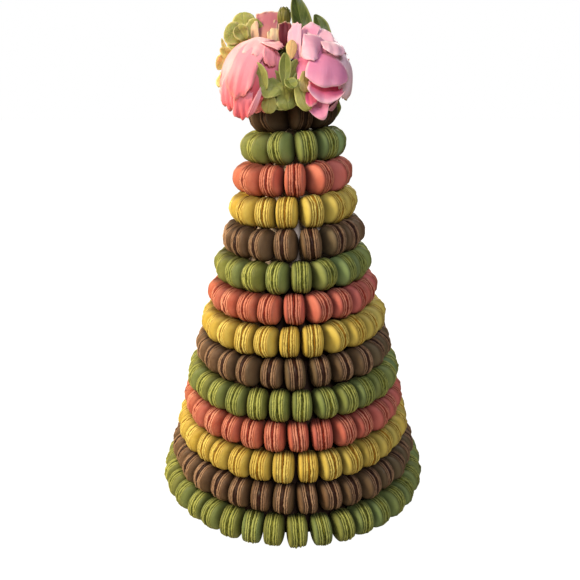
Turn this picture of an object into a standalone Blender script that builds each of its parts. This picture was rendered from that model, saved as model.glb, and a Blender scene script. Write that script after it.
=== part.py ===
"""Macaron tower: fourteen rings of macarons on edge round a pale cone, under a posy of flowers.

Metres, +Z up, origin on the floor under the tower's axis. The front faces -Y.
Every ring is one solid: its section swells to each macaron's full size and shrinks between them.
Every flower is one solid: a rounded heart with its petals fused on.
"""

import math
import random
from typing import NamedTuple

import bmesh
import bpy
from mathutils import Matrix, Vector

MM = 0.001
GAP = 0.4 * MM
SHARP_ANGLE = math.radians(40.0)

# Macarons and rings
MACARON_RADIUS = 21.0 * MM
MACARON_THICKNESS = 27.5 * MM
FEET_SHARE = 0.22           # half the width of the filling and feet over the thickness
VALLEY_SHARE = 0.60         # radius where two macarons meet over the radius at the feet
# Points of a section, as angles up from straight outward. They leave a flat side towards the next tier.
SECTION_ANGLES_DEG = (-100.0, -56.0, -12.0, 32.0, 76.0)
INNER_POINT_RISE = 9.0 * MM    # of the point that reaches in to the cone, over the ring's middle
TIER_RISE = 39.3 * MM
FLOOR_CLEARANCE = 0.9 * MM
LEAN_PER_TIER = math.radians(0.33)
RING_RADII_MM = (176.5, 163.5, 153.5, 143.5, 135.0, 122.5, 111.0, 99.5, 89.0, 77.5, 67.0, 59.0, 49.0, 37.0)
RING_COUNTS = (38, 35, 33, 30, 29, 25, 24, 21, 19, 16, 14, 12, 10, 8)
RING_TURNS_DEG = (1.6, 6.0, 6.6, 2.7, 5.0, 1.4, -2.3, 0.3, 5.5, 15.2, 20.0, 2.8, 18.0, 0.0)
FLAVOURS = ("green", "brown", "yellow", "coral")

# Unevenness of a hand-laid tower
SIZE_SPREAD = 0.03
THICKNESS_SPREAD = 0.05
RADIAL_SPREAD = 1.2 * MM
LEAN_SPREAD = math.radians(3.0)
TURN_SPREAD_BOTTOM = math.radians(7.0)
TURN_SPREAD_TOP = math.radians(20.0)
STEP_SPREAD = 0.10          # of the angle between two macarons
RING_SEED = 400

# Cone
CONE_HEIGHT = 557.0 * MM
CONE_BASE_RADIUS = 155.5 * MM
CONE_TOP_RADIUS = 4.0 * MM
CONE_SEGMENTS = 28

# Posy
TOP_RING_REACH = 61.0 * MM
DRUM_SIDES = 12
TOP_RING_TOP = 557.5 * MM
POSY_SPLIT = Vector((-8.0 * MM, 1.0 * MM, 0.0))
CUTTER_REACH = 0.3
SPRIG_RINGS, SPRIG_SIDES = 3, 5
SPRIG_ROOT = 0.5            # where its petals start, over the radius of its middle
SPRIG_STATIONS = 2
LEAF_STATIONS = 4
BUD_RINGS, BUD_SIDES = 4, 6
FOLIAGE_RINGS, FOLIAGE_SIDES = 6, 8
BLADE_THICKNESS = 1.2 * MM
BLADE_CLEARANCE = 1.8 * MM  # from a blade's middle surface to the flower that it lies on
BLADE_START, BLADE_END = 0.04, 0.96     # part of a half wave that gives a blade's width
BLADE_FULLNESS = 0.75
BLADE_TIP_WIDTH = 0.16
WAVE_SIZE = 0.04            # of a blade's edge, over its width
WAVE_TURNS = 9.0
PUSH_ROUNDS = 3

# Flowers, as shares of the flower's radius
FLOWER_HEART = 0.80
HEART_RINGS, HEART_SIDES = 6, 7
PETAL_ROOT = 0.70           # inside the heart
PETAL_LIFT = 0.985
PETAL_FLARE = 0.05          # how much further out the lip stands than the base
PETAL_TWIST = 0.015         # how much further out one side of a petal stands
LIP_DEPTH = 0.11
ODD_PETAL_SINK = 0.02
ODD_PETAL_DROP_DEG = 5.0
PETAL_STEPS = 2
PETAL_WIDTHS = (0.55, 0.99, 0.76)       # at the base, the middle and the lip
PETAL_NARROWEST_SINE = 0.35
PETAL_TIP_CURVE = 0.10
WHORL_TURN = 0.3

FINISHES = {                # colour and roughness
    "green": ((0.27, 0.30, 0.07), 0.6),
    "brown": ((0.16, 0.08, 0.04), 0.6),
    "yellow": ((0.62, 0.42, 0.08), 0.6),
    "coral": ((0.55, 0.16, 0.09), 0.6),
    "cone": ((0.80, 0.70, 0.68), 0.7),
    "peony": ((0.80, 0.26, 0.26), 0.5),
    "rose": ((0.72, 0.34, 0.50), 0.5),
    "mauve": ((0.56, 0.27, 0.33), 0.5),
    "hydrangea": ((0.38, 0.45, 0.16), 0.5),
    "bud": ((0.46, 0.48, 0.10), 0.5),
    "leaf": ((0.08, 0.13, 0.03), 0.4),
    "foliage": ((0.10, 0.15, 0.04), 0.5),
}


class Flower(NamedTuple):
    """A rounded flower: its place, its radii and the way its centre faces, in millimetres."""

    name: str
    finish: str
    centre: tuple
    radii: tuple
    facing: tuple
    outer_petals: int
    inner_petals: int


class Whorl(NamedTuple):
    """A turn of petals. The angles are counted from the way the flower's centre faces."""

    name: str
    base_deg: float
    rim_deg: float
    width_share: float
    shift: float


class Blade(NamedTuple):
    """A petal or leaf: where it points, which way its face looks, and its sizes in millimetres."""

    along: tuple
    face: tuple
    length: float
    width: float
    bend: float
    fold: float


class Sprig(NamedTuple):
    """A small head of hydrangea petals fused on a round middle."""

    name: str
    centre: tuple
    radius: float
    blades: tuple


OUTER_WHORL = Whorl("outer", 128.0, 50.0, 0.78, 0.0)
INNER_WHORL = Whorl("inner", 70.0, 14.0, 0.48, 0.5)

FLOWERS = (
    Flower("peony_left", "peony", (-49, -38, 577), (46, 43, 49), (-0.35, -0.75, -0.55), 5, 2),
    Flower("rose_right", "rose", (30, -34, 587), (42, 41, 54), (0.15, -0.85, -0.45), 4, 2),
    Flower("rose_back_left", "mauve", (-30, 36, 606), (40, 38, 47), (-0.2, 0.7, 0.6), 4, 2),
    Flower("rose_back_right", "peony", (33, 40, 586), (40, 39, 44), (0.4, 0.85, 0.1), 4, 2),
)

SPRIGS = (
    Sprig("hydrangea_front", (-8, -66, 565), 6.0, (
        Blade((-0.85, -0.25, 0.15), (-0.1, -1, 0.5), 30, 29, -0.12, 0.10),
        Blade((-0.50, -0.10, -0.85), (0, -1, -0.1), 29, 29, -0.10, -0.12),
        Blade((0.80, -0.20, 0.25), (0.1, -1, 0.4), 19, 22, -0.10, 0.12),
        Blade((0.62, -0.10, -0.75), (0.1, -1, -0.1), 36, 26, -0.10, -0.10),
        Blade((0.02, 0.02, 1.0), (0, -1, 0.0), 38, 17, 0.10, 0.22),
    )),
    Sprig("hydrangea_top_left", (-60, 12, 623), 6.0, (
        Blade((-0.80, 0.05, 0.25), (0, -1, 0.3), 21, 22, -0.10, 0.12),
        Blade((-0.15, 0.20, 1.0), (0, -1, 0.1), 23, 22, -0.10, -0.12),
        Blade((0.75, 0.10, 0.60), (0, -1, 0.2), 20, 19, 0.10, 0.12),
    )),
    Sprig("hydrangea_left", (-86, 12, 592), 6.0, (
        Blade((-0.35, -0.45, 0.90), (-0.5, -1, 0.1), 20, 19, 0.08, 0.12),
        Blade((-0.60, -0.50, -0.60), (-0.4, -1, 0.3), 18, 19, -0.08, -0.12),
    )),
    Sprig("hydrangea_back", (-2, 74, 572), 6.0, (
        Blade((-0.85, 0.15, 0.15), (0, 1, 0.4), 24, 24, -0.10, 0.12),
        Blade((0.85, 0.15, 0.10), (0, 1, 0.4), 24, 24, -0.10, -0.12),
        Blade((0.10, 0.15, 0.95), (0, 1, -0.2), 24, 23, 0.10, 0.12),
        Blade((0.05, 0.10, -0.95), (0, 1, 0.2), 22, 23, -0.10, 0.12),
    )),
    Sprig("hydrangea_right", (72, 3, 566), 6.0, (
        Blade((0.10, -0.35, -0.90), (1, -0.4, 0.1), 20, 21, 0.06, 0.12),
        Blade((0.00, 0.50, 0.70), (1, 0.3, 0.2), 20, 21, 0.06, -0.12),
    )),
)

LEAVES = {
    "leaf_top": ((21, 5, 616), Blade((-0.28, 0.14, 0.92), (0.25, -1, 0.1), 63, 28, 0.06, 0.25)),
    "leaf_top_small": ((37, 12, 618), Blade((-0.22, 0.25, 0.90), (0.3, -1, 0.2), 42, 14, -0.06, 0.30)),
    "leaf_back_left": ((-48, 52, 566), Blade((-0.55, 0.50, -0.62), (-0.3, 0.3, 1), 42, 24, -0.15, 0.25)),
    "leaf_back_right": ((50, 58, 560), Blade((0.30, 0.62, -0.70), (0.3, 0.3, 1), 42, 23, -0.15, 0.25)),
}

BUD_CENTRE = Vector((-12.0, 12.0, 650.0)) * MM
BUD_RADII = Vector((8.5, 8.5, 12.5)) * MM

FOLIAGE_CENTRE = Vector((-2.0, 1.0, 590.0)) * MM
FOLIAGE_RADII = Vector((34.0, 32.0, 32.5)) * MM


def material(name: str, finish: str) -> bpy.types.Material:
    """Return a new material with the named finish."""
    colour, roughness = FINISHES[finish]
    made = bpy.data.materials.new(name)
    made.use_nodes = True
    shader = made.node_tree.nodes["Principled BSDF"]
    shader.inputs["Base Color"].default_value = (*colour, 1.0)
    shader.inputs["Roughness"].default_value = roughness
    made.diffuse_color = (*colour, 1.0)
    return made


def add_object(name: str, bm: bmesh.types.BMesh, finish: str = "") -> bpy.types.Object:
    """Turn a bmesh into a linked object. A tool that shapes another object has no finish."""
    bmesh.ops.recalc_face_normals(bm, faces=bm.faces)
    mesh = bpy.data.meshes.new(name)
    bm.to_mesh(mesh)
    bm.free()
    mesh.shade_smooth()
    mesh.set_sharp_from_angle(angle=SHARP_ANGLE)
    if finish:
        mesh.materials.append(material(name, finish))
    made = bpy.data.objects.new(name, mesh)
    bpy.context.scene.collection.objects.link(made)
    return made


def apply_boolean(target: bpy.types.Object, operands: list, operation: str) -> None:
    """Join the operands to the target, or cut them from it, and remove them."""
    group = bpy.data.collections.new(target.name + "_operands")
    bpy.context.scene.collection.children.link(group)
    for operand in operands:
        bpy.context.scene.collection.objects.unlink(operand)
        group.objects.link(operand)
    modifier = target.modifiers.new(operation.title(), "BOOLEAN")
    modifier.operation = operation
    modifier.solver = "EXACT"
    modifier.operand_type = "COLLECTION"
    modifier.collection = group
    depsgraph = bpy.context.evaluated_depsgraph_get()
    result = bpy.data.meshes.new_from_object(target.evaluated_get(depsgraph))
    target.modifiers.clear()
    target.data = result
    for operand in operands:
        bpy.data.objects.remove(operand)
    bpy.data.collections.remove(group)


def keep_largest_body(target: bpy.types.Object) -> None:
    """Drop loose scraps, so that the object stays one body."""
    bm = bmesh.new()
    bm.from_mesh(target.data)
    unseen = set(bm.verts)
    bodies = []
    while unseen:
        edge_of_search = [unseen.pop()]
        body = set(edge_of_search)
        while edge_of_search:
            vert = edge_of_search.pop()
            for edge in vert.link_edges:
                other = edge.other_vert(vert)
                if other in unseen:
                    unseen.discard(other)
                    body.add(other)
                    edge_of_search.append(other)
        bodies.append(body)
    bodies.sort(key=len, reverse=True)
    for scrap in bodies[1:]:
        bmesh.ops.delete(bm, geom=list(scrap), context="VERTS")
    bm.to_mesh(target.data)
    bm.free()


def round_solid(
    low_radius: float, high_radius: float, low: float, high: float, sides: int
) -> bmesh.types.BMesh:
    """Return an upright cone or cylinder with flat ends about the tower's axis."""
    bm = bmesh.new()
    bmesh.ops.create_cone(
        bm, cap_ends=True, segments=sides, radius1=low_radius, radius2=high_radius, depth=high - low
    )
    bmesh.ops.translate(bm, verts=bm.verts, vec=(0.0, 0.0, (low + high) / 2))
    return bm


def ellipsoid(centre: Vector, radii: Vector, rings: int, segments: int) -> bmesh.types.BMesh:
    """Return a round solid with the given radii about a centre."""
    bm = bmesh.new()
    bmesh.ops.create_uvsphere(bm, u_segments=segments, v_segments=rings, radius=1.0)
    place = Matrix.Translation(centre) @ Matrix.Diagonal((*radii, 1.0))
    bmesh.ops.transform(bm, verts=bm.verts, matrix=place)
    return bm


def cone_radius(height: float) -> float:
    """Return the cone's radius at a height."""
    return CONE_BASE_RADIUS + (CONE_TOP_RADIUS - CONE_BASE_RADIUS) * height / CONE_HEIGHT


def tier_height(tier: int) -> float:
    """Return the height of the middle of a ring's macarons, counted from 0 at the bottom."""
    return FLOOR_CLEARANCE + MACARON_RADIUS + TIER_RISE * tier


def macaron_places(tier: int) -> list:
    """Return the (matrix, radius, thickness, angle) of each macaron of a ring.

    The matrix puts a macaron whose axis is local Y, and whose outer edge is local +X, in its place.
    """
    draw = random.Random(RING_SEED + tier)
    count = RING_COUNTS[tier]
    step = math.tau / count
    share_up = tier / (len(RING_COUNTS) - 1)
    turn_spread = TURN_SPREAD_BOTTOM + (TURN_SPREAD_TOP - TURN_SPREAD_BOTTOM) * share_up
    ring_lean = Matrix.Rotation(-LEAN_PER_TIER * tier, 4, "Y")
    places = []
    for index in range(count):
        along = index + draw.uniform(-1, 1) * STEP_SPREAD
        angle = math.radians(RING_TURNS_DEG[tier] - 90.0) + step * along
        radius = RING_RADII_MM[tier] * MM + draw.uniform(-1, 1) * RADIAL_SPREAD
        turn = draw.uniform(-1, 1) * turn_spread
        lean = draw.uniform(-1, 1) * LEAN_SPREAD
        size = MACARON_RADIUS * (1.0 + draw.uniform(-1, 1) * SIZE_SPREAD)
        thickness = MACARON_THICKNESS * (1.0 + draw.uniform(-1, 1) * THICKNESS_SPREAD)
        place = (
            Matrix.Translation((0.0, 0.0, tier_height(tier)))
            @ ring_lean
            @ Matrix.Rotation(angle, 4, "Z")
            @ Matrix.Translation((radius, 0.0, 0.0))
            @ Matrix.Rotation(turn, 4, "Z")
            @ Matrix.Rotation(lean, 4, "X")
        )
        places.append((place, size, thickness, angle))
    return places


def section(place: Matrix, radius: float, across: float) -> list:
    """Return the outer points of a macaron's section at a distance along its axis."""
    points = []
    for degrees in SECTION_ANGLES_DEG:
        angle = math.radians(degrees)
        points.append(place @ Vector((radius * math.cos(angle), across, radius * math.sin(angle))))
    return points


def build_tier(tier: int) -> None:
    """Build one ring of macarons as one closed solid.

    Each macaron has two full sections at its feet. Between two macarons the section is narrow, and
    one point there reaches in to the cone.
    """
    flavour = FLAVOURS[tier % len(FLAVOURS)]
    places = macaron_places(tier)
    inner_height = tier_height(tier) + INNER_POINT_RISE
    widest_half_step = math.pi / len(places) * (1.0 + STEP_SPREAD)
    against_cone = (cone_radius(inner_height) + GAP) / math.cos(widest_half_step)
    bm = bmesh.new()
    feet_rows, valley_rows, inner_points = [], [], []
    for index, (place, radius, thickness, angle) in enumerate(places):
        next_place, next_radius, next_thickness, next_angle = places[(index + 1) % len(places)]
        feet = thickness * FEET_SHARE
        feet_rows.append([
            [bm.verts.new(point) for point in section(place, radius, -feet)],
            [bm.verts.new(point) for point in section(place, radius, feet)],
        ])
        near = section(place, radius * VALLEY_SHARE, thickness / 2)
        far = section(next_place, next_radius * VALLEY_SHARE, -next_thickness / 2)
        valley_rows.append([bm.verts.new((a + b) / 2) for a, b in zip(near, far)])
        around = angle + ((next_angle - angle) % math.tau) / 2
        inner_points.append(
            bm.verts.new((against_cone * math.cos(around), against_cone * math.sin(around), inner_height))
        )
    last_point = len(SECTION_ANGLES_DEG) - 1
    for index, (first_feet, second_feet) in enumerate(feet_rows):
        rows = (valley_rows[index - 1], first_feet, second_feet, valley_rows[index])
        before, after = inner_points[index - 1], inner_points[index]
        for row, next_row in zip(rows, rows[1:]):
            for point in range(last_point):
                bm.faces.new((row[point], row[point + 1], next_row[point + 1], next_row[point]))
        for point in (0, last_point):
            bm.faces.new((before, rows[0][point], rows[1][point]))
            bm.faces.new((before, rows[1][point], rows[2][point]))
            bm.faces.new((before, rows[2][point], after))
            bm.faces.new((after, rows[2][point], rows[3][point]))
    add_object(f"tier_{tier + 1:02d}_{flavour}", bm, flavour)


def build_cone() -> None:
    """Build the pale cone that carries the rings."""
    solid = round_solid(CONE_BASE_RADIUS, CONE_TOP_RADIUS, 0.0, CONE_HEIGHT, CONE_SEGMENTS)
    add_object("cone", solid, "cone")


def facing_basis(facing: Vector) -> tuple:
    """Return two directions across a flower's facing direction."""
    side = facing.cross(Vector((0.0, 0.0, 1.0))).normalized()
    return side, side.cross(facing).normalized()


def close_layers(bm: bmesh.types.BMesh, upper: list, lower: list) -> None:
    """Fill two layers of points, given as rows, and the border between them.

    Both layers are split into triangles alike, so that a thin sheet can't cross itself.
    """
    last_row, last_column = len(upper) - 1, len(upper[0]) - 1
    for rows in (upper, lower):
        for row, next_row in zip(rows, rows[1:]):
            for column in range(last_column):
                bm.faces.new((row[column], row[column + 1], next_row[column + 1]))
                bm.faces.new((row[column], next_row[column + 1], next_row[column]))
    border = [(0, column) for column in range(last_column)]
    border += [(row, last_column) for row in range(last_row)]
    border += [(last_row, column) for column in range(last_column, 0, -1)]
    border += [(row, 0) for row in range(last_row, 0, -1)]
    for (row, column), (next_row, next_column) in zip(border, border[1:] + border[:1]):
        bm.faces.new((
            upper[row][column],
            upper[next_row][next_column],
            lower[next_row][next_column],
            lower[row][column],
        ))


def flower_petal(
    flower: Flower, azimuth: float, half_width: float, base: float, rim: float, lift: float
) -> bmesh.types.BMesh:
    """Return one cupped petal of a flower, rooted in its heart, with a free lip.

    Args:
        flower: the flower it belongs to.
        azimuth: the petal's place round the facing direction.
        half_width: half the petal's width, as an angle.
        base: the angle from the facing direction at which it starts.
        rim: the angle from the facing direction at which its lip ends.
        lift: how far out its face stands, over the flower's radius.
    """
    facing = Vector(flower.facing).normalized()
    side, up = facing_basis(facing)
    centre = Vector(flower.centre) * MM
    radii = Vector(flower.radii) * MM
    bm = bmesh.new()
    layers = []
    for outer in (True, False):
        rows = []
        for along, width_share in enumerate(PETAL_WIDTHS):
            way = along / PETAL_STEPS
            polar = base + (rim - base) * way
            reach = half_width * width_share / max(math.sin(polar), PETAL_NARROWEST_SINE)
            row = []
            for across in range(PETAL_STEPS + 1):
                part = 2.0 * across / PETAL_STEPS - 1.0
                angle = azimuth + part * reach
                tilt = polar + (PETAL_TIP_CURVE * part * part if along == PETAL_STEPS else 0.0)
                direction = (
                    facing * math.cos(tilt)
                    + side * math.sin(tilt) * math.cos(angle)
                    + up * math.sin(tilt) * math.sin(angle)
                )
                if outer:
                    distance = lift - PETAL_FLARE * (1.0 - way * way) + PETAL_TWIST * part
                else:
                    distance = lift - LIP_DEPTH if along == PETAL_STEPS else PETAL_ROOT
                reached = Vector(a * b for a, b in zip(radii, direction * distance))
                row.append(bm.verts.new(centre + reached))
            rows.append(row)
        layers.append(rows)
    outer_rows, inner_rows = layers
    close_layers(bm, outer_rows, inner_rows)
    return bm


def foliage(radii: Vector) -> bmesh.types.BMesh:
    """Return the leafy middle of the posy at the given radii."""
    return ellipsoid(FOLIAGE_CENTRE, radii, FOLIAGE_RINGS, FOLIAGE_SIDES)


def posy_cutters(flower: Flower) -> list:
    """Return the solids that a flower gives way to: other quarters, the top ring, the foliage."""
    reach = CUTTER_REACH
    x_side = 1.0 if flower.centre[0] > POSY_SPLIT.x / MM else -1.0
    y_side = 1.0 if flower.centre[1] > POSY_SPLIT.y / MM else -1.0
    middle = flower.centre[2] * MM
    x_middle = POSY_SPLIT.x + x_side * (GAP - reach) / 2
    y_middle = POSY_SPLIT.y + y_side * (GAP - reach) / 2
    boxes = (
        (Vector((x_middle, 0.0, middle)), Vector((reach, 2 * reach, reach))),
        (Vector((0.0, y_middle, middle)), Vector((2 * reach, reach, reach))),
    )
    cutters = []
    for index, (centre, size) in enumerate(boxes):
        bm = bmesh.new()
        bmesh.ops.create_cube(bm, size=1.0)
        place = Matrix.Translation(centre) @ Matrix.Diagonal((*size, 1.0))
        bmesh.ops.transform(bm, verts=bm.verts, matrix=place)
        cutters.append(add_object(f"{flower.name}_quarter_{index}", bm))
    drum = round_solid(
        TOP_RING_REACH, TOP_RING_REACH, TOP_RING_TOP - CUTTER_REACH, TOP_RING_TOP, DRUM_SIDES
    )
    cutters.append(add_object(f"{flower.name}_drum", drum))
    room = foliage(FOLIAGE_RADII + Vector((2 * GAP,) * 3))
    cutters.append(add_object(f"{flower.name}_foliage", room))
    return cutters


def build_flower(flower: Flower) -> None:
    """Build one flower: its heart, two whorls of petals, trimmed to its own quarter of the posy."""
    centre = Vector(flower.centre) * MM
    radii = Vector(flower.radii) * MM * FLOWER_HEART
    heart = add_object(flower.name, ellipsoid(centre, radii, HEART_RINGS, HEART_SIDES), flower.finish)
    petals = []
    for whorl, count in ((OUTER_WHORL, flower.outer_petals), (INNER_WHORL, flower.inner_petals)):
        for index in range(count):
            odd = index % 2
            petal = flower_petal(
                flower,
                azimuth=math.tau * (index + whorl.shift) / count + WHORL_TURN,
                half_width=whorl.width_share * math.pi / count,
                base=math.radians(whorl.base_deg),
                rim=math.radians(whorl.rim_deg + ODD_PETAL_DROP_DEG * odd),
                lift=PETAL_LIFT - ODD_PETAL_SINK * odd,
            )
            petals.append(add_object(f"{flower.name}_{whorl.name}_{index}", petal))
    apply_boolean(heart, petals, "UNION")
    apply_boolean(heart, posy_cutters(flower), "DIFFERENCE")
    keep_largest_body(heart)


def clear_of_flowers(point: Vector, clearance: float = BLADE_CLEARANCE) -> Vector:
    """Return the point pushed clear of the flowers, the leafy middle and the top ring's room."""
    rounds = [(FOLIAGE_CENTRE, FOLIAGE_RADII)]
    rounds += [(Vector(flower.centre) * MM, Vector(flower.radii) * MM) for flower in FLOWERS]
    for _ in range(PUSH_ROUNDS):
        for centre, radii in rounds:
            offset = point - centre
            depth = Vector(a / (b + clearance) for a, b in zip(offset, radii)).length
            if depth < 1.0:
                point = centre + offset / depth
        around = math.hypot(point.x, point.y)
        room = TOP_RING_REACH + clearance
        if point.z < TOP_RING_TOP and around < room:
            point = Vector((point.x * room / around, point.y * room / around, point.z))
    return point


def blade_solid(start: Vector, blade: Blade, stations: int) -> bmesh.types.BMesh:
    """Return a petal or leaf as a thin wavy solid, with both faces split into triangles alike."""
    along = Vector(blade.along).normalized()
    face = Vector(blade.face)
    face = (face - along * face.dot(along)).normalized()
    across = along.cross(face)
    length, width = blade.length * MM, blade.width * MM
    bm = bmesh.new()
    layers = []
    for level in (0.5, -0.5):
        rows = []
        for station in range(stations + 1):
            way = station / stations
            fullness = math.sin(math.pi * (BLADE_START + (BLADE_END - BLADE_START) * way)) ** BLADE_FULLNESS
            half = width / 2 * (BLADE_TIP_WIDTH + (1.0 - BLADE_TIP_WIDTH) * fullness)
            rise = blade.bend * length * way * way
            row = []
            for part in (-1.0, 0.0, 1.0):
                wave = WAVE_SIZE * width * math.sin(WAVE_TURNS * way + part)
                edge_lift = abs(part) * half * blade.fold + wave
                point = start + along * length * way + across * half * part + face * (rise + edge_lift)
                row.append(bm.verts.new(clear_of_flowers(point) + face * level * BLADE_THICKNESS))
            rows.append(row)
        layers.append(rows)
    upper, lower = layers
    close_layers(bm, upper, lower)
    return bm


def build_sprig(sprig: Sprig) -> None:
    """Build one head of hydrangea: petals fused on a round middle."""
    radius = sprig.radius * MM
    centre = clear_of_flowers(Vector(sprig.centre) * MM, radius)
    ball = ellipsoid(centre, Vector((radius,) * 3), SPRIG_RINGS, SPRIG_SIDES)
    middle = add_object(sprig.name, ball, "hydrangea")
    petals = []
    for index, blade in enumerate(sprig.blades):
        start = centre + Vector(blade.along).normalized() * radius * SPRIG_ROOT
        petal = blade_solid(start, blade, SPRIG_STATIONS)
        petals.append(add_object(f"{sprig.name}_petal_{index}", petal))
    apply_boolean(middle, petals, "UNION")


def build_posy() -> None:
    """Build the leafy middle on the cone's tip, the flowers round it and what is stuck between them."""
    add_object("posy_foliage", foliage(FOLIAGE_RADII), "foliage")
    for flower in FLOWERS:
        build_flower(flower)
    for sprig in SPRIGS:
        build_sprig(sprig)
    for name, (start, blade) in LEAVES.items():
        add_object(name, blade_solid(Vector(start) * MM, blade, LEAF_STATIONS), "leaf")
    add_object("bud_top", ellipsoid(BUD_CENTRE, BUD_RADII, BUD_RINGS, BUD_SIDES), "bud")


def main() -> None:
    """Clear the scene and build the tower."""
    for found in list(bpy.data.objects):
        bpy.data.objects.remove(found)
    build_cone()
    for tier in range(len(RING_COUNTS)):
        build_tier(tier)
    build_posy()


main()
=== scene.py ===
"""Macaron tower under a posy of flowers.

Fourteen rings of separate macarons stand on edge round a paper cone, and four large flowers,
hydrangea heads, leaves and a bud crown it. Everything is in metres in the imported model's frame:
+Z up, the front facing -Y, the origin on the floor under the tower's axis.
"""

from __future__ import annotations

import logging
import math
import random
from dataclasses import dataclass, field
from enum import Enum

import bpy
import numpy as np
from mathutils import Matrix, Vector


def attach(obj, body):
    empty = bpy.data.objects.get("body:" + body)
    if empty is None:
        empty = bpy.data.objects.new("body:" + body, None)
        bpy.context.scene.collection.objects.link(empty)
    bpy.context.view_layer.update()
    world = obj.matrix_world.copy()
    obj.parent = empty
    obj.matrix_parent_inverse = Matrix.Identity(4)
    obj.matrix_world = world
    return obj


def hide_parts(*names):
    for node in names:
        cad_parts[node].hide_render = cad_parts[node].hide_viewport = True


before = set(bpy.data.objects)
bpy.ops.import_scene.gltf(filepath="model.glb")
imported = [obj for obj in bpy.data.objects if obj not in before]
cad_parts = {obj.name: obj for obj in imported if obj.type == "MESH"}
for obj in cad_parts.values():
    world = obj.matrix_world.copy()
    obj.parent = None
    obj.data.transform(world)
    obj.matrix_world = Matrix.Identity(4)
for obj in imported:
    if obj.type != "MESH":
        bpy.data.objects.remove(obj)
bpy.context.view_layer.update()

LOG = logging.getLogger("macaron_tower")
BODY = "root"                                               # the body that every piece rides
HYDRANGEA_SLOT = "hydrangea_green"
LEAF_SLOT = "leaf_green"
MM = 0.001                                                  # a millimetre, in metres
MIX_SHARE, MIX_FIRST, MIX_SECOND, MIX_COLOUR = 0, 6, 7, 2   # a Mix node's sockets for colours


# ---------------------------------------------------------------- colours and node trees


@dataclass(frozen=True)
class Paint:
    """A colour as a paint chart gives it, with each channel from 0 to 255."""

    red: float
    green: float
    blue: float

    def linear(self) -> tuple[float, float, float, float]:
        """Turn the colour into what a shader socket takes.

        Returns:
            The linear red, green and blue, and an alpha of 1.
        """
        channels = []
        for channel in (self.red, self.green, self.blue):
            share = channel / 255.0
            channels.append(share / 12.92 if share <= 0.04045 else ((share + 0.055) / 1.055) ** 2.4)
        return (*channels, 1.0)


class NodeTree:
    """A short way to write a shader node tree."""

    def __init__(self, tree: bpy.types.NodeTree) -> None:
        """Wrap a node tree."""
        self.tree = tree

    def add(self, kind: str, inputs: dict | None = None, **settings: object) -> bpy.types.Node:
        """Add a node.

        Args:
            kind: the node's type name.
            inputs: values or output sockets, by the input's name or number.
            settings: the node's own properties.

        Returns:
            The new node.
        """
        node = self.tree.nodes.new(kind)
        for name, value in settings.items():
            setattr(node, name, value)
        for name, value in (inputs or {}).items():
            if isinstance(value, bpy.types.NodeSocket):
                self.tree.links.new(value, node.inputs[name])
            else:
                node.inputs[name].default_value = value
        return node

    def maths(self, operation: str, *values: object) -> bpy.types.NodeSocket:
        """Return the result of a sum on up to three numbers or sockets."""
        node = self.add("ShaderNodeMath", dict(enumerate(values)), operation=operation)
        return node.outputs[0]

    def blend(self, share: object, first: object, second: object) -> bpy.types.NodeSocket:
        """Blend two colours.

        Args:
            share: how much of the second colour there is, as a number or a socket.
            first: a paint or a socket.
            second: a paint or a socket.

        Returns:
            The blended colour's socket.
        """
        inputs = {
            number: colour.linear() if isinstance(colour, Paint) else colour
            for number, colour in ((MIX_SHARE, share), (MIX_FIRST, first), (MIX_SECOND, second))
        }
        return self.add("ShaderNodeMix", inputs, data_type="RGBA").outputs[MIX_COLOUR]

    def ramp(
        self, value: object, low: float, high: float, start: float = 0.0, end: float = 1.0
    ) -> bpy.types.NodeSocket:
        """Move a value smoothly from one range to another.

        Args:
            value: a number or a socket.
            low: where the first range begins.
            high: where the first range ends.
            start: the result at low and beyond it.
            end: the result at high and beyond it.

        Returns:
            The moved value's socket.
        """
        node = self.add(
            "ShaderNodeMapRange",
            {"Value": value, "From Min": low, "From Max": high, "To Min": start, "To Max": end},
            interpolation_type="SMOOTHSTEP",
        )
        return node.outputs[0]

    def noise(
        self, where: object, scale: object, detail: float = 2.0, roughness: float = 0.5
    ) -> bpy.types.NodeSocket:
        """Return the socket of a noise from 0 to 1, with blotches of the size that scale gives."""
        inputs = {"Vector": where, "Scale": scale, "Detail": detail, "Roughness": roughness}
        return self.add("ShaderNodeTexNoise", inputs).outputs["Fac"]


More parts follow.
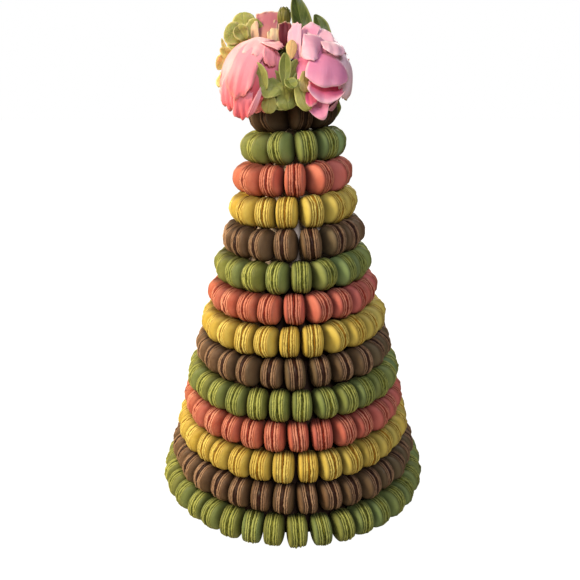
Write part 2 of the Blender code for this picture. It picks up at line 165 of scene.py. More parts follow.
class SharedEffects:
    """Shader node groups that several finishes use. Each is built once."""

    def __init__(self) -> None:
        """Build the groups."""
        self.crumb = self._crumb()
        self.veins = self._veins()
        self.leaf_veins = self._leaf_veins()

    @staticmethod
    def _group(
        name: str, takes: dict, gives: dict
    ) -> tuple[bpy.types.NodeTree, NodeTree, bpy.types.Node]:
        """Start a group.

        Args:
            name: the group's name.
            takes: each input's name and its starting value, or None for a vector.
            gives: each output's name and its socket type.

        Returns:
            The group, its wrapper and its input node.
        """
        group = bpy.data.node_groups.new(name, "ShaderNodeTree")
        for title, value in takes.items():
            kind = "NodeSocketVector" if value is None else "NodeSocketFloat"
            socket = group.interface.new_socket(title, in_out="INPUT", socket_type=kind)
            if value is not None:
                socket.default_value = value
        for title, kind in gives.items():
            group.interface.new_socket(title, in_out="OUTPUT", socket_type=kind)
        tree = NodeTree(group)
        return group, tree, tree.add("NodeGroupInput")

    def _crumb(self) -> bpy.types.NodeTree:
        """Build the group for the fine almond crumb: mottling, specks and relief.

        Returns:
            The group.
        """
        group, tree, given = self._group(
            "almond_crumb",
            {"Where": None, "Speck Size": 900.0, "Mottle Size": 60.0, "Coarse": 0.3},
            {"Mottle": "NodeSocketFloat", "Specks": "NodeSocketFloat", "Height": "NodeSocketFloat"},
        )
        where = given.outputs["Where"]
        broad = tree.noise(where, given.outputs["Mottle Size"], 3.0)
        fine = tree.noise(where, given.outputs["Speck Size"], 2.0)
        pits = tree.add("ShaderNodeTexVoronoi", {"Vector": where, "Scale": given.outputs["Speck Size"]})
        specks = tree.ramp(pits.outputs["Distance"], 0.32, 0.08)
        sparse = tree.ramp(tree.noise(where, 410.0, 1.0), 0.52, 0.62)
        specks = tree.maths("MULTIPLY", specks, sparse)
        relief = tree.maths("MULTIPLY_ADD", broad, given.outputs["Coarse"], fine)
        relief = tree.maths("MULTIPLY_ADD", specks, -0.4, relief)
        tree.add(
            "NodeGroupOutput",
            {"Mottle": tree.ramp(broad, 0.3, 0.7), "Specks": specks, "Height": relief},
        )
        return group

    def _veins(self) -> bpy.types.NodeTree:
        """Build the group for a petal's fine lengthwise veins, and its soft blotches.

        Returns:
            The group.
        """
        group, tree, given = self._group(
            "petal_veins",
            {"Along": 0.0, "Across": 0.0, "Own": 0.0, "Count": 24.0},
            {"Veins": "NodeSocketFloat", "Blotch": "NodeSocketFloat", "Height": "NodeSocketFloat"},
        )
        across = tree.maths("MULTIPLY", given.outputs["Across"], given.outputs["Count"])
        along = tree.maths("MULTIPLY", given.outputs["Along"], 2.2)
        apart = tree.maths("MULTIPLY", given.outputs["Own"], 37.0)
        streak_at = tree.add("ShaderNodeCombineXYZ", {0: across, 1: along, 2: apart})
        streaks = tree.noise(streak_at.outputs[0], 1.0, 2.0, 0.6)
        blotch_at = tree.add("ShaderNodeCombineXYZ", {0: given.outputs["Across"], 1: along, 2: apart})
        blotch = tree.noise(blotch_at.outputs[0], 1.3, 2.0)
        tree.add(
            "NodeGroupOutput",
            {
                "Veins": tree.ramp(streaks, 0.35, 0.68),
                "Blotch": tree.ramp(blotch, 0.35, 0.65),
                "Height": streaks,
            },
        )
        return group

    def _leaf_veins(self) -> bpy.types.NodeTree:
        """Build the group for a leaf's midrib and side veins.

        Returns:
            The group.
        """
        group, tree, given = self._group(
            "leaf_veins",
            {"Along": 0.0, "Across": 0.0, "Pairs": 7.0},
            {"Veins": "NodeSocketFloat", "Height": "NodeSocketFloat"},
        )
        side = tree.maths("ABSOLUTE", given.outputs["Across"])
        midrib = tree.ramp(side, 0.09, 0.015)
        slanted = tree.maths("MULTIPLY_ADD", side, -0.30, given.outputs["Along"])
        turns = tree.maths("MULTIPLY", slanted, given.outputs["Pairs"])
        sawtooth = tree.maths("PINGPONG", turns, 0.5)
        ribs = tree.ramp(sawtooth, 0.09, 0.0)
        veins = tree.maths("MAXIMUM", midrib, tree.maths("MULTIPLY", ribs, 0.6))
        tree.add("NodeGroupOutput", {"Veins": veins, "Height": tree.maths("MULTIPLY", veins, -1.0)})
        return group


class Finish:
    """A material with one Principled shader, written through a NodeTree."""

    def __init__(self, name: str, roughness: float, specular: float = 0.4) -> None:
        """Start a material.

        Args:
            name: the material's name.
            roughness: the roughness all over, unless a method links one.
            specular: the strength of the plain reflection.
        """
        self.material = bpy.data.materials.new(name)
        self.material.use_nodes = True
        self.tree = NodeTree(self.material.node_tree)
        self.shader = self.material.node_tree.nodes["Principled BSDF"]
        self.shader.inputs["Roughness"].default_value = roughness
        self.shader.inputs["Specular IOR Level"].default_value = specular

    def where(self) -> bpy.types.NodeSocket:
        """Return the point on the object, in metres."""
        return self.tree.add("ShaderNodeTexCoord").outputs["Object"]

    def own_value(self, name: str) -> bpy.types.NodeSocket:
        """Return a value stored on the mesh."""
        return self.tree.add("ShaderNodeAttribute", attribute_name=name).outputs["Fac"]

    def group(self, group: bpy.types.NodeTree, inputs: dict) -> bpy.types.Node:
        """Return a new node that holds a shared effect, with its inputs set."""
        return self.tree.add("ShaderNodeGroup", inputs, node_tree=group)

    def colour(self, value: bpy.types.NodeSocket) -> None:
        """Link the base colour."""
        self.tree.tree.links.new(value, self.shader.inputs["Base Color"])

    def roughness(self, value: bpy.types.NodeSocket) -> None:
        """Link the roughness."""
        self.tree.tree.links.new(value, self.shader.inputs["Roughness"])

    def relief(self, height: bpy.types.NodeSocket, distance: float) -> None:
        """Link a bump of a given depth."""
        bump = self.tree.add("ShaderNodeBump", {"Height": height, "Distance": distance, "Strength": 1.0})
        self.tree.tree.links.new(bump.outputs[0], self.shader.inputs["Normal"])

    def soften(self, weight: float, depth: float, tint: tuple[float, float, float]) -> None:
        """Let light into the surface a little way.

        Args:
            weight: the share of light that goes in.
            depth: how far it goes, in metres.
            tint: how far its red, green and blue go, as shares of the depth.
        """
        self.shader.inputs["Subsurface Weight"].default_value = weight
        self.shader.inputs["Subsurface Scale"].default_value = depth
        self.shader.inputs["Subsurface Radius"].default_value = tint


# ---------------------------------------------------------------- meshes


@dataclass
class MeshParts:
    """Closed parts gathered into one mesh, with values stored at their points."""

    points: list = field(default_factory=list)
    faces: list = field(default_factory=list)
    finishes: list = field(default_factory=list)
    values: dict = field(default_factory=dict)
    count: int = 0

    def add(self, points: np.ndarray, faces: list, finish: int | np.ndarray, **values: object) -> None:
        """Add one part.

        Args:
            points: its points, one row each.
            faces: arrays of point numbers, one array for each number of corners.
            finish: the number of its finish, or one for each face in the same order.
            values: a number for the whole part, or one for each point.
        """
        number = len(points)
        self.points.append(points)
        for group in faces:
            self.faces.append(group + self.count)
        total = sum(len(group) for group in faces)
        self.finishes.append(np.full(total, finish) if np.isscalar(finish) else finish)
        for name, value in values.items():
            spread = np.broadcast_to(np.asarray(value, float).ravel(), (number,))
            self.values.setdefault(name, []).append(spread)
        self.count += number

    def build(self, name: str, materials: list[bpy.types.Material]) -> bpy.types.Object:
        """Make the object.

        Args:
            name: the piece's name.
            materials: its materials, in the order of the finishes' numbers.

        Returns:
            The linked object.
        """
        mesh = bpy.data.meshes.new(name)
        points = np.concatenate(self.points)
        corners = np.concatenate([group.ravel() for group in self.faces])
        sizes = np.concatenate([np.full(len(group), group.shape[1]) for group in self.faces])
        starts = np.concatenate([[0], np.cumsum(sizes)[:-1]])
        mesh.vertices.add(len(points))
        mesh.vertices.foreach_set("co", points.astype(np.float32).ravel())
        mesh.loops.add(len(corners))
        mesh.loops.foreach_set("vertex_index", corners.astype(np.int32))
        mesh.polygons.add(len(sizes))
        mesh.polygons.foreach_set("loop_start", starts.astype(np.int32))
        mesh.polygons.foreach_set("material_index", np.concatenate(self.finishes).astype(np.int32))
        mesh.update(calc_edges=True)
        mesh.validate()
        mesh.shade_smooth()
        for title, parts in self.values.items():
            stored = mesh.attributes.new(title, "FLOAT", "POINT")
            stored.data.foreach_set("value", np.concatenate(parts).astype(np.float32))
        for material in materials:
            mesh.materials.append(material)
        made = bpy.data.objects.new(name, mesh)
        bpy.context.scene.collection.objects.link(made)
        return made


def lathe_faces(rings: int, segments: int) -> list[np.ndarray]:
    """Join the points of a closed turned part whose last two points are its ends.

    Args:
        rings: the number of rings.
        segments: the number of points round each ring.

    Returns:
        The faces between the rings, and the faces at the first and the last end.
    """
    ring = np.arange(rings - 1)[:, None] * segments
    here = np.arange(segments)[None, :]
    there = (here + 1) % segments
    walls = np.stack([ring + here, ring + there, ring + segments + there, ring + segments + here], -1)
    walls = walls.reshape(-1, 4)
    first, last = rings * segments, rings * segments + 1
    here, there = here[0], there[0]
    start = np.stack([np.full(segments, first), there, here], -1)
    base = (rings - 1) * segments
    end = np.stack([np.full(segments, last), base + here, base + there], -1)
    return [walls, start, end]


def closed_sheet(grid: np.ndarray, thickness: float) -> tuple[np.ndarray, list[np.ndarray]]:
    """Give a sheet of points a thickness.

    Args:
        grid: the middle surface, as rows and columns of points.
        thickness: the thickness.

    Returns:
        The points of both faces, and the closed surface's faces.
    """
    rows, columns = grid.shape[:2]
    down = np.gradient(grid, axis=0)
    right = np.gradient(grid, axis=1)
    normal = np.cross(right, down)
    normal /= np.maximum(np.linalg.norm(normal, axis=2, keepdims=True), 1e-12)
    shift = normal * thickness / 2
    points = np.concatenate([(grid + shift).reshape(-1, 3), (grid - shift).reshape(-1, 3)])
    number = np.arange(rows * columns).reshape(rows, columns)
    upper = np.stack([number[:-1, :-1], number[:-1, 1:], number[1:, 1:], number[1:, :-1]], -1)
    upper = upper.reshape(-1, 4)
    lower = upper[:, ::-1] + rows * columns
    border = np.concatenate([number[0, :-1], number[:-1, -1], number[-1, :0:-1], number[:0:-1, 0]])
    following = np.roll(border, -1)
    edge = np.stack([following, border, border + rows * columns, following + rows * columns], -1)
    return points, [upper, lower, edge]


def across_sheet(rows: int, columns: int) -> tuple[np.ndarray, np.ndarray]:
    """Say where each point of a closed sheet is on it.

    Args:
        rows: the number of points along the sheet.
        columns: the number of points across it.

    Returns:
        How far along each point is, from 0 to 1, and how far across, from -1 to 1.
    """
    along = np.broadcast_to(np.linspace(0.0, 1.0, rows)[:, None], (rows, columns)).ravel()
    across = np.broadcast_to(np.linspace(-1.0, 1.0, columns)[None, :], (rows, columns)).ravel()
    return np.tile(along, 2), np.tile(across, 2)


def unit(vector: tuple | np.ndarray) -> np.ndarray:
    """Return a vector of length one."""
    given = np.asarray(vector, float)
    return given / np.linalg.norm(given)


def smooth(share: np.ndarray) -> np.ndarray:
    """Return shares kept between 0 and 1 and eased at both ends."""
    kept = np.clip(share, 0.0, 1.0)
    return kept * kept * (3.0 - 2.0 * kept)


def waves(across: np.ndarray, draw: np.random.Generator, slowest: float, fastest: float) -> np.ndarray:
    """Make an uneven wave along a line.

    Args:
        across: where each point is on the line.
        draw: the source of its unevenness.
        slowest: the fewest half turns in one step of across.
        fastest: the most.

    Returns:
        The wave at each point, between about -1 and 1.
    """
    total = np.zeros_like(across)
    for share in (1.0, 0.7, 0.5):
        turns = draw.uniform(slowest, fastest)
        total = total + share * np.sin(math.pi * turns * across + draw.uniform(0, math.tau))
    return total / 2.2


# ---------------------------------------------------------------- macarons


class Flavour(Enum):
    """The four flavours, from the bottom ring up."""

    GREEN = "green"
    BROWN = "brown"
    YELLOW = "yellow"
    CORAL = "coral"


@dataclass(frozen=True)
class FlavourLook:
    """The colours of one flavour and the width of its filling."""

    dome: Paint
    dome_dusty: Paint
    # The cooler colour that some macarons lean to at random, and those at the right of a ring more, as
    # painted cool light.
    dome_cool_tone_and_light: Paint            # some macarons lean to this colour
    speck: Paint
    foot: Paint
    # The foot's dark colour: its specks, the filling's mottling, and painted shade in the foot's grooves
    # and at the dome's rim.
    foot_deep: Paint
    filling: Paint
    # The colour of the painted shade where macarons nearly touch, under the rings and under the posy.
    painted_shade_colour: Paint              # where macarons nearly touch
    filling_half: float
    filling_reach: float        # the filling's radius, over the macaron's

    def materials(self, effects: SharedEffects, flavour: Flavour) -> list[bpy.types.Material]:
        """Return the finishes of the dome, the foot and the filling."""
        return [
            self._dome(effects, flavour.value),
            self._foot(effects, flavour.value),
            self._filling(effects, flavour.value),
        ]

    def _dome(self, effects: SharedEffects, name: str) -> bpy.types.Material:
        """Make the finish of a smooth baked dome.

        Args:
            effects: the shared effects.
            name: the flavour's name.

        Returns:
            The material.
        """
        made = Finish(f"macaron_{name}_dome", 0.55, 0.35)
        crumb = made.group(effects.crumb, {"Where": made.where(), "Mottle Size": 75.0, "Coarse": 0.5})
        tree = made.tree
        own = tree.maths("MULTIPLY", made.own_value("own"), 0.45)
        share = tree.maths("MULTIPLY_ADD", crumb.outputs["Mottle"], 0.55, own)
        colour = tree.blend(share, self.dome, self.dome_dusty)
        # A cooler tone, partly at random and partly painted cool light at the right of the ring.
        colour = tree.blend(made.own_value("cast"), colour, self.dome_cool_tone_and_light)
        colour = tree.blend(tree.maths("MULTIPLY", crumb.outputs["Specks"], 0.55), colour, self.speck)
        # Painted shade: the dome darkens towards its rim.
        painted_rim_shade = tree.ramp(made.own_value("rim"), 0.55, 1.0, 0.0, 0.45)
        colour = tree.blend(painted_rim_shade, colour, self.foot_deep)
        # Painted shade where macarons nearly touch, under the rings and under the posy.
        made.colour(tree.blend(made.own_value("deep"), colour, self.painted_shade_colour))
        made.roughness(tree.ramp(crumb.outputs["Mottle"], 0.0, 1.0, 0.48, 0.62))
        made.relief(crumb.outputs["Height"], 0.00022)
        return made.material

    def _foot(self, effects: SharedEffects, name: str) -> bpy.types.Material:
        """Make the finish of the bubbly foot under a dome.

        Args:
            effects: the shared effects.
            name: the flavour's name.

        Returns:
            The material.
        """
        made = Finish(f"macaron_{name}_foot", 0.8, 0.25)
        sizes = {"Speck Size": 620.0, "Mottle Size": 150.0, "Coarse": 0.8}
        crumb = made.group(effects.crumb, {"Where": made.where(), **sizes})
        tree = made.tree
        # Painted shade in the grooves between the foot's frills.
        painted_groove_shade = made.own_value("painted_groove_shade")
        share = tree.maths("MULTIPLY_ADD", crumb.outputs["Mottle"], 0.22, painted_groove_shade)
        ridge = tree.blend(tree.maths("MULTIPLY", made.own_value("own"), 0.45), self.foot, self.dome)
        # A cooler tone, partly at random and partly painted cool light at the right of the ring.
        ridge = tree.blend(tree.maths("MULTIPLY", made.own_value("cast"), 0.5), ridge, self.dome_cool_tone_and_light)
        colour = tree.blend(tree.maths("MINIMUM", share, 1.0), ridge, self.foot_deep)
        colour = tree.blend(tree.maths("MULTIPLY", crumb.outputs["Specks"], 0.4), colour, self.foot_deep)
        # Painted shade where macarons nearly touch, under the rings and under the posy.
        made.colour(tree.blend(made.own_value("deep"), colour, self.painted_shade_colour))
        made.relief(crumb.outputs["Height"], 0.0004)
        return made.material

    def _filling(self, effects: SharedEffects, name: str) -> bpy.types.Material:
        """Make the finish of the soft filling.

        Args:
            effects: the shared effects.
            name: the flavour's name.

        Returns:
            The material.
        """
        made = Finish(f"macaron_{name}_filling", 0.5, 0.22)
        sizes = {"Speck Size": 420.0, "Mottle Size": 130.0, "Coarse": 1.0}
        crumb = made.group(effects.crumb, {"Where": made.where(), **sizes})
        tree = made.tree
        colour = tree.blend(crumb.outputs["Mottle"], self.filling, self.foot_deep)
        # Painted shade where macarons nearly touch, under the rings and under the posy.
        made.colour(tree.blend(made.own_value("deep"), colour, self.painted_shade_colour))
        made.roughness(tree.ramp(crumb.outputs["Mottle"], 0.0, 1.0, 0.42, 0.6))
        made.relief(crumb.outputs["Height"], 0.0005)
        return made.material


LOOKS = {
    Flavour.GREEN: FlavourLook(
        Paint(114, 118, 52), Paint(140, 142, 78), Paint(122, 150, 104), Paint(80, 88, 40),
        Paint(194, 196, 110), Paint(52, 60, 16), Paint(112, 112, 36), Paint(36, 32, 8), 0.9 * MM, 0.975,
    ),
    Flavour.BROWN: FlavourLook(
        Paint(98, 70, 50), Paint(128, 98, 76), Paint(96, 86, 66), Paint(60, 40, 28),
        Paint(190, 152, 126), Paint(50, 24, 16), Paint(38, 12, 10), Paint(24, 10, 5), 2.2 * MM, 0.955,
    ),
    Flavour.YELLOW: FlavourLook(
        Paint(198, 164, 58), Paint(218, 192, 96), Paint(192, 180, 100), Paint(150, 112, 34),
        Paint(246, 226, 128), Paint(116, 80, 14), Paint(164, 116, 24), Paint(66, 38, 8), 0.9 * MM, 0.975,
    ),
    Flavour.CORAL: FlavourLook(
        Paint(188, 94, 74), Paint(206, 124, 102), Paint(190, 100, 102), Paint(132, 54, 40),
        Paint(242, 166, 144), Paint(110, 28, 20), Paint(142, 42, 30), Paint(68, 10, 6), 0.9 * MM, 0.975,
    ),
}


@dataclass
class Macaron:
    """One macaron: two domed shells with frilly feet, and the filling between them.

    It is made about its own middle, with its axis along Y and its outer edge at +X.
    """

    radius: float
    thickness: float
    filling_half: float
    filling_reach: float
    segments: int = 42
    dome_rings: int = 6
    skirt_share: float = 0.285      # where the dome meets the foot, over the thickness
    dome_power: float = 2.1         # 2 is an ellipse, and more is squarer
    crowding: float = 0.38          # how much closer the segments are at the outer edge
    dome_reach: float = 0.945       # the dome's radius, over the macaron's
    skirt_step: float = 0.008       # how far the dome draws in where it meets the foot
    frill_size: float = 0.36 * MM   # how far the frills stand in and out
    frill_shift: float = 0.22 * MM  # how far single frills stand up and down
    frill_wave: float = 0.34 * MM   # how far a foot's rings wander up and down
    dip: float = 0.35 * MM          # how far a shell's edge is from flat
    lump: float = 0.25 * MM         # how uneven a dome is
    filling_rough: float = 0.18 * MM
    # Waves round it, each as a number of turns and a size.
    shell_swell: tuple = ((2, 0.012), (3, 0.008))
    shell_dip: tuple = ((2, 1.0), (5, 0.6))
    filling_swell: tuple = ((4, 0.012), (9, 0.008))
    # Down the foot: the depth, the radius, the size of the frills and how dark its painted shade is, as
    # shares.
    foot_rings: tuple = (
        (0.06, 0.902, 0.30, 1.00),
        (0.26, 0.960, 1.00, 0.00),
        (0.47, 0.918, 0.60, 0.95),
        (0.72, 0.995, 1.00, 0.00),
        (0.96, 0.945, 0.80, 0.70),
        (1.00, 0.780, 0.20, 1.00),
    )
    # Across the filling: the height over half its thickness, and the radius as a share.
    filling_rings: tuple = ((-1.1, 0.94), (-0.55, 0.985), (0.0, 1.0), (0.55, 0.985), (1.1, 0.94))

    def _angles(self, turn: float) -> np.ndarray:
        """Return the angle of each segment, closer together at the outer edge."""
        even = np.linspace(0.0, math.tau, self.segments, endpoint=False) + turn
        return even - self.crowding * np.sin(even)

    @staticmethod
    def _ripple(angles: np.ndarray, draw: np.random.Generator, *parts: tuple) -> np.ndarray:
        """Return a sum of waves round a ring, each given by its number of turns and its size."""
        return sum(size * np.sin(turns * angles + draw.uniform(0, 6)) for turns, size in parts)

    def shell(
        self, draw: np.random.Generator, side: float
    ) -> tuple[np.ndarray, list, np.ndarray, dict]:
        """Build one shell.

        Args:
            draw: the source of its unevenness.
            side: 1 for the shell at +Y, and -1 for the other.

        Returns:
            Its points, faces, the finish of each face, and the values stored at its points.
        """
        angles = self._angles(draw.uniform(0, 0.1))
        skirt = self.thickness * self.skirt_share
        dome_height = self.thickness / 2 - skirt
        steps = np.linspace(0.0, math.pi / 2, self.dome_rings + 1)[1:]
        heights = [skirt + dome_height * math.cos(step) ** (2 / self.dome_power) for step in steps]
        shares = [self.dome_reach * math.sin(step) ** (2 / self.dome_power) for step in steps]
        frills = [0.0] * len(steps)
        painted_groove_shades = [0.0] * len(steps)
        foot_height = skirt - self.filling_half
        for depth, share, frill, painted_groove_shade in self.foot_rings:
            heights.append(skirt - foot_height * depth)
            shares.append(share)
            frills.append(frill)
            painted_groove_shades.append(painted_groove_shade)
        heights[self.dome_rings - 1] = skirt
        shares[self.dome_rings - 1] = self.dome_reach - self.skirt_step
        height, share, frill = (np.array(row)[:, None] for row in (heights, shares, frills))
        swell = self._ripple(angles, draw, *self.shell_swell)
        dip = self.dip * self._ripple(angles, draw, *self.shell_dip)
        rough = draw.normal(size=(len(heights), self.segments))
        rough = (np.roll(rough, 1, 1) + 2 * rough + np.roll(rough, -1, 1)) / 2.45
        shift = self.frill_shift * draw.normal(size=(len(heights), self.segments))
        shift = shift + self.frill_wave * waves(angles / math.pi, draw, 2.0, 7.0)
        across = share * self.radius * (1.0 + swell) + frill * rough * self.frill_size
        lumps = self.lump * self._ripple(angles, draw, (1, 1.0)) * np.sin(math.pi * share)
        up = height + dip * np.clip(share, 0, 1) ** 4 + frill * shift + lumps
        ring = np.stack([across * np.cos(angles), up * side, across * np.sin(angles)], -1)
        top = self.thickness / 2 + draw.uniform(-0.1, 0.25) * MM
        ends = np.array([[0.0, side * top, 0.0], [0.0, side * heights[-1], 0.0]])
        points = np.concatenate([ring.reshape(-1, 3), ends])
        faces = lathe_faces(len(heights), self.segments)
        if side < 0:
            faces = [group[:, ::-1] for group in faces]
        dome_walls = (self.dome_rings - 1) * self.segments
        walls = (len(heights) - 1) * self.segments
        finish = np.concatenate([
            np.zeros(dome_walls),
            np.ones(walls - dome_walls),
            np.zeros(self.segments),
            np.ones(self.segments),
        ])
        rim = np.repeat(np.clip(np.array(shares) / self.dome_reach, 0, 1) ** 3, self.segments)
        # Painted shade in the foot's grooves, ring by ring.
        painted_groove_shade = np.repeat(np.array(painted_groove_shades), self.segments)
        values = {"rim": np.append(rim, [0.0, 1.0]), "painted_groove_shade": np.append(painted_groove_shade, [0.0, 1.0])}
        return points, faces, finish, values

    def filling(self, draw: np.random.Generator) -> tuple[np.ndarray, list]:
        """Build the filling, squeezed out unevenly between the feet.

        Args:
            draw: the source of its unevenness.

        Returns:
            Its points and faces.
        """
        angles = self._angles(draw.uniform(0, 0.1))
        rings = len(self.filling_rings)
        heights, shares = (np.array(row)[:, None] for row in zip(*self.filling_rings))
        heights, shares = heights * self.filling_half, shares * self.filling_reach
        lumps = self._ripple(angles, draw, *self.filling_swell)
        rough = draw.normal(size=(rings, self.segments)) * self.filling_rough
        across = self.radius * (shares + lumps) + rough
        up = np.broadcast_to(heights, across.shape)
        ring = np.stack([across * np.cos(angles), up, across * np.sin(angles)], -1)
        ends = np.array([[0.0, heights[0, 0], 0.0], [0.0, heights[-1, 0], 0.0]])
        faces = [group[:, ::-1] for group in lathe_faces(rings, self.segments)]
        return np.concatenate([ring.reshape(-1, 3), ends]), faces


# Macarons whose turn is listed: the ring and the place in it, counted from 0, and the
# turn in degrees. The others take a turn by chance.
HAND_TURNS = {
    (0, 35): 8, (0, 36): 8,
    (2, 32): 0, (2, 0): -3,
    (3, 29): -2, (3, 0): 2, (3, 1): -8,
    (4, 28): -4, (4, 0): -3,
    (5, 24): -2,
    (6, 2): 20,
    (7, 20): -5, (7, 0): -2, (7, 1): 18, (7, 2): 3,
    (8, 18): -10, (8, 0): -2, (8, 1): 18,
    (9, 1): 0,
    (10, 13): -3, (10, 0): 2, (10, 1): 3,
    (11, 0): -6,
    (12, 0): -3,
    (13, 7): -24, (13, 0): 14, (13, 1): 8,
}


@dataclass
class MacaronTower:
    """The fourteen rings of macarons.

    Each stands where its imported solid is. Seven of them are up to 3.5 mm less in radius, two are
    0.5 mm more, and the top ring is turned by 9 degrees.
    """

    macaron_radius: float = 21.0 * MM
    macaron_thickness: float = 27.5 * MM
    tier_rise: float = 39.3 * MM
    floor_clearance: float = 0.9 * MM
    lean_per_tier: float = math.radians(0.33)
    # From the bottom ring up: the number of macarons, the radius of the ring through their
    # middles in millimetres, and how far the ring is turned in degrees.
    rings: tuple = (
        (38, 175.5, 1.6),
        (35, 161.0, 6.0),
        (33, 151.0, 6.6),
        (30, 140.0, 2.7),
        (29, 133.5, 5.0),
        (25, 121.0, 1.4),
        (24, 111.0, -2.3),
        (21, 99.0, 0.3),
        (19, 89.5, 5.5),
        (16, 78.0, 15.2),
        (14, 67.0, 20.0),
        (12, 59.0, 2.8),
        (10, 49.0, 18.0),
        (8, 37.0, 9.0),
    )
    # How much the macarons differ: sizes and steps as shares, and the rest as lengths and angles.
    size_spread: float = 0.03
    thickness_spread: float = 0.05
    step_spread: float = 0.055
    radial_spread: float = 1.2 * MM
    lean_spread: float = math.radians(3.0)
    turn_spread_bottom: float = math.radians(7.0)
    turn_spread_top: float = math.radians(20.0)
    place_seed: int = 400
    shape_seed: int = 450
    # A cooler tone, partly at random and partly painted cool light that grows towards the right of each
    # ring.
    cast: float = 0.26                  # how much cooler than its look a macaron is on average
    cast_rightward: float = 0.34        # and how much more so at the right of its ring
    cast_spread: float = 0.32
    shell_tone_spread: float = 0.15     # how far a shell's tone is from its macaron's
    shell_slip: float = 0.5 * MM        # how far a shell has slipped on the filling
    # Painted shade: how near a neighbour or the ring above or below must be, and how dark each makes a
    # macaron.
    beside_reach: float = 12.0 * MM     # how near a neighbour darkens a macaron
    beside_shade: float = 0.8           # how dark it gets there
    ring_reach: float = 11.0 * MM       # how near the ring above or below does
    above_shade: float = 0.85
    below_shade: float = 0.45
    posy_shade: float = 0.58            # how dark the posy makes the top ring
    posy_shade_upper: float = 0.36      # and how much darker its upper half

    def tier_height(self, tier: int) -> float:
        """Return the height of the middle of a ring's macarons, counted from 0 at the bottom."""
        return self.floor_clearance + self.macaron_radius + self.tier_rise * tier

    def places(self, tier: int) -> list[tuple[Matrix, float, float]]:
        """Lay out a ring.

        Args:
            tier: the ring, counted from 0 at the bottom.

        Returns:
            The matrix, radius and thickness of each macaron, from the front one round to the right.
        """
        draw = random.Random(self.place_seed + tier)
        count, ring_radius, ring_turn = self.rings[tier]
        step = math.tau / count
        share_up = tier / (len(self.rings) - 1)
        turn_gain = (self.turn_spread_top - self.turn_spread_bottom) * share_up
        turn_spread = self.turn_spread_bottom + turn_gain
        ring_lean = Matrix.Rotation(-self.lean_per_tier * tier, 4, "Y")
        found = []
        for index in range(count):
            along = index + draw.uniform(-1, 1) * self.step_spread
            angle = math.radians(ring_turn - 90.0) + step * along
            radius = ring_radius * MM + draw.uniform(-1, 1) * self.radial_spread
            turn = draw.uniform(-1, 1) * turn_spread
            turn = math.radians(HAND_TURNS.get((tier, index), math.degrees(turn)))
            lean = draw.uniform(-1, 1) * self.lean_spread
            size = self.macaron_radius * (1.0 + draw.uniform(-1, 1) * self.size_spread)
            thickness = self.macaron_thickness * (1.0 + draw.uniform(-1, 1) * self.thickness_spread)
            place = (
                Matrix.Translation((0.0, 0.0, self.tier_height(tier)))
                @ ring_lean
                @ Matrix.Rotation(angle, 4, "Z")
                @ Matrix.Translation((radius, 0.0, 0.0))
                @ Matrix.Rotation(turn, 4, "Z")
                @ Matrix.Rotation(lean, 4, "X")
            )
            found.append((place, size, thickness))
        return found

    def build(self, effects: SharedEffects) -> None:
        """Build every ring as a piece of shells and a piece of fillings.

        Args:
            effects: the shared effects.
        """
        materials = {flavour: look.materials(effects, flavour) for flavour, look in LOOKS.items()}
        flavours = list(Flavour)
        for tier in range(len(self.rings)):
            flavour = flavours[tier % len(flavours)]
            self._build_ring(tier, flavour, materials[flavour])

    def _build_ring(
        self, tier: int, flavour: Flavour, materials: list[bpy.types.Material]
    ) -> None:
        """Build one ring.

        Args:
            tier: the ring, counted from 0 at the bottom.
            flavour: its flavour.
            materials: the finishes of the dome, the foot and the filling.
        """
        draw = np.random.default_rng(self.shape_seed + tier)
        shells, fillings = MeshParts(), MeshParts()
        ring = self.places(tier)
        look = LOOKS[flavour]
        for index, (place, size, thickness) in enumerate(ring):
            macaron = Macaron(size, thickness, look.filling_half, look.filling_reach)
            own = draw.uniform()
            # Painted cool light: the further right in the ring, the cooler the macaron.
            across = place.translation.x / self.rings[tier][1] / MM
            cast = self.cast + self.cast_rightward * across + draw.uniform(-1, 1) * self.cast_spread
            cast = np.clip(cast, 0, 0.85)
            beside = (ring[index - 1], ring[(index + 1) % len(ring)])
            for side in (1.0, -1.0):
                points, faces, finish, values = macaron.shell(draw, side)
                slip = draw.uniform(-1, 1, 3) * self.shell_slip * (1.0, 0.3, 1.0)
                moved = self._placed(place, points + slip)
                own_side = np.clip(own + draw.uniform(-1, 1) * self.shell_tone_spread, 0, 1)
                # Painted shade from the neighbours, the rings above and below, and the posy.
                deep = self._painted_shade_share(moved, tier, beside)
                shells.add(moved, faces, finish, own=own_side, cast=cast, deep=deep, **values)
            points, faces = macaron.filling(draw)
            moved = self._placed(place, points)
            # The filling takes the same painted shade.
            fillings.add(moved, faces, 0, deep=self._painted_shade_share(moved, tier, beside))
        node = f"tier_{tier + 1:02d}_{flavour.value}"
        for name, parts, finishes in (
            (f"shells_{tier + 1:02d}_{flavour.value}", shells, materials[:2]),
            (f"filling_{tier + 1:02d}_{flavour.value}", fillings, materials[2:]),
        ):
            piece = parts.build(name, finishes)
            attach(piece, BODY)
            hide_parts(node)
            LOG.info("%s: %d points", name, parts.count)

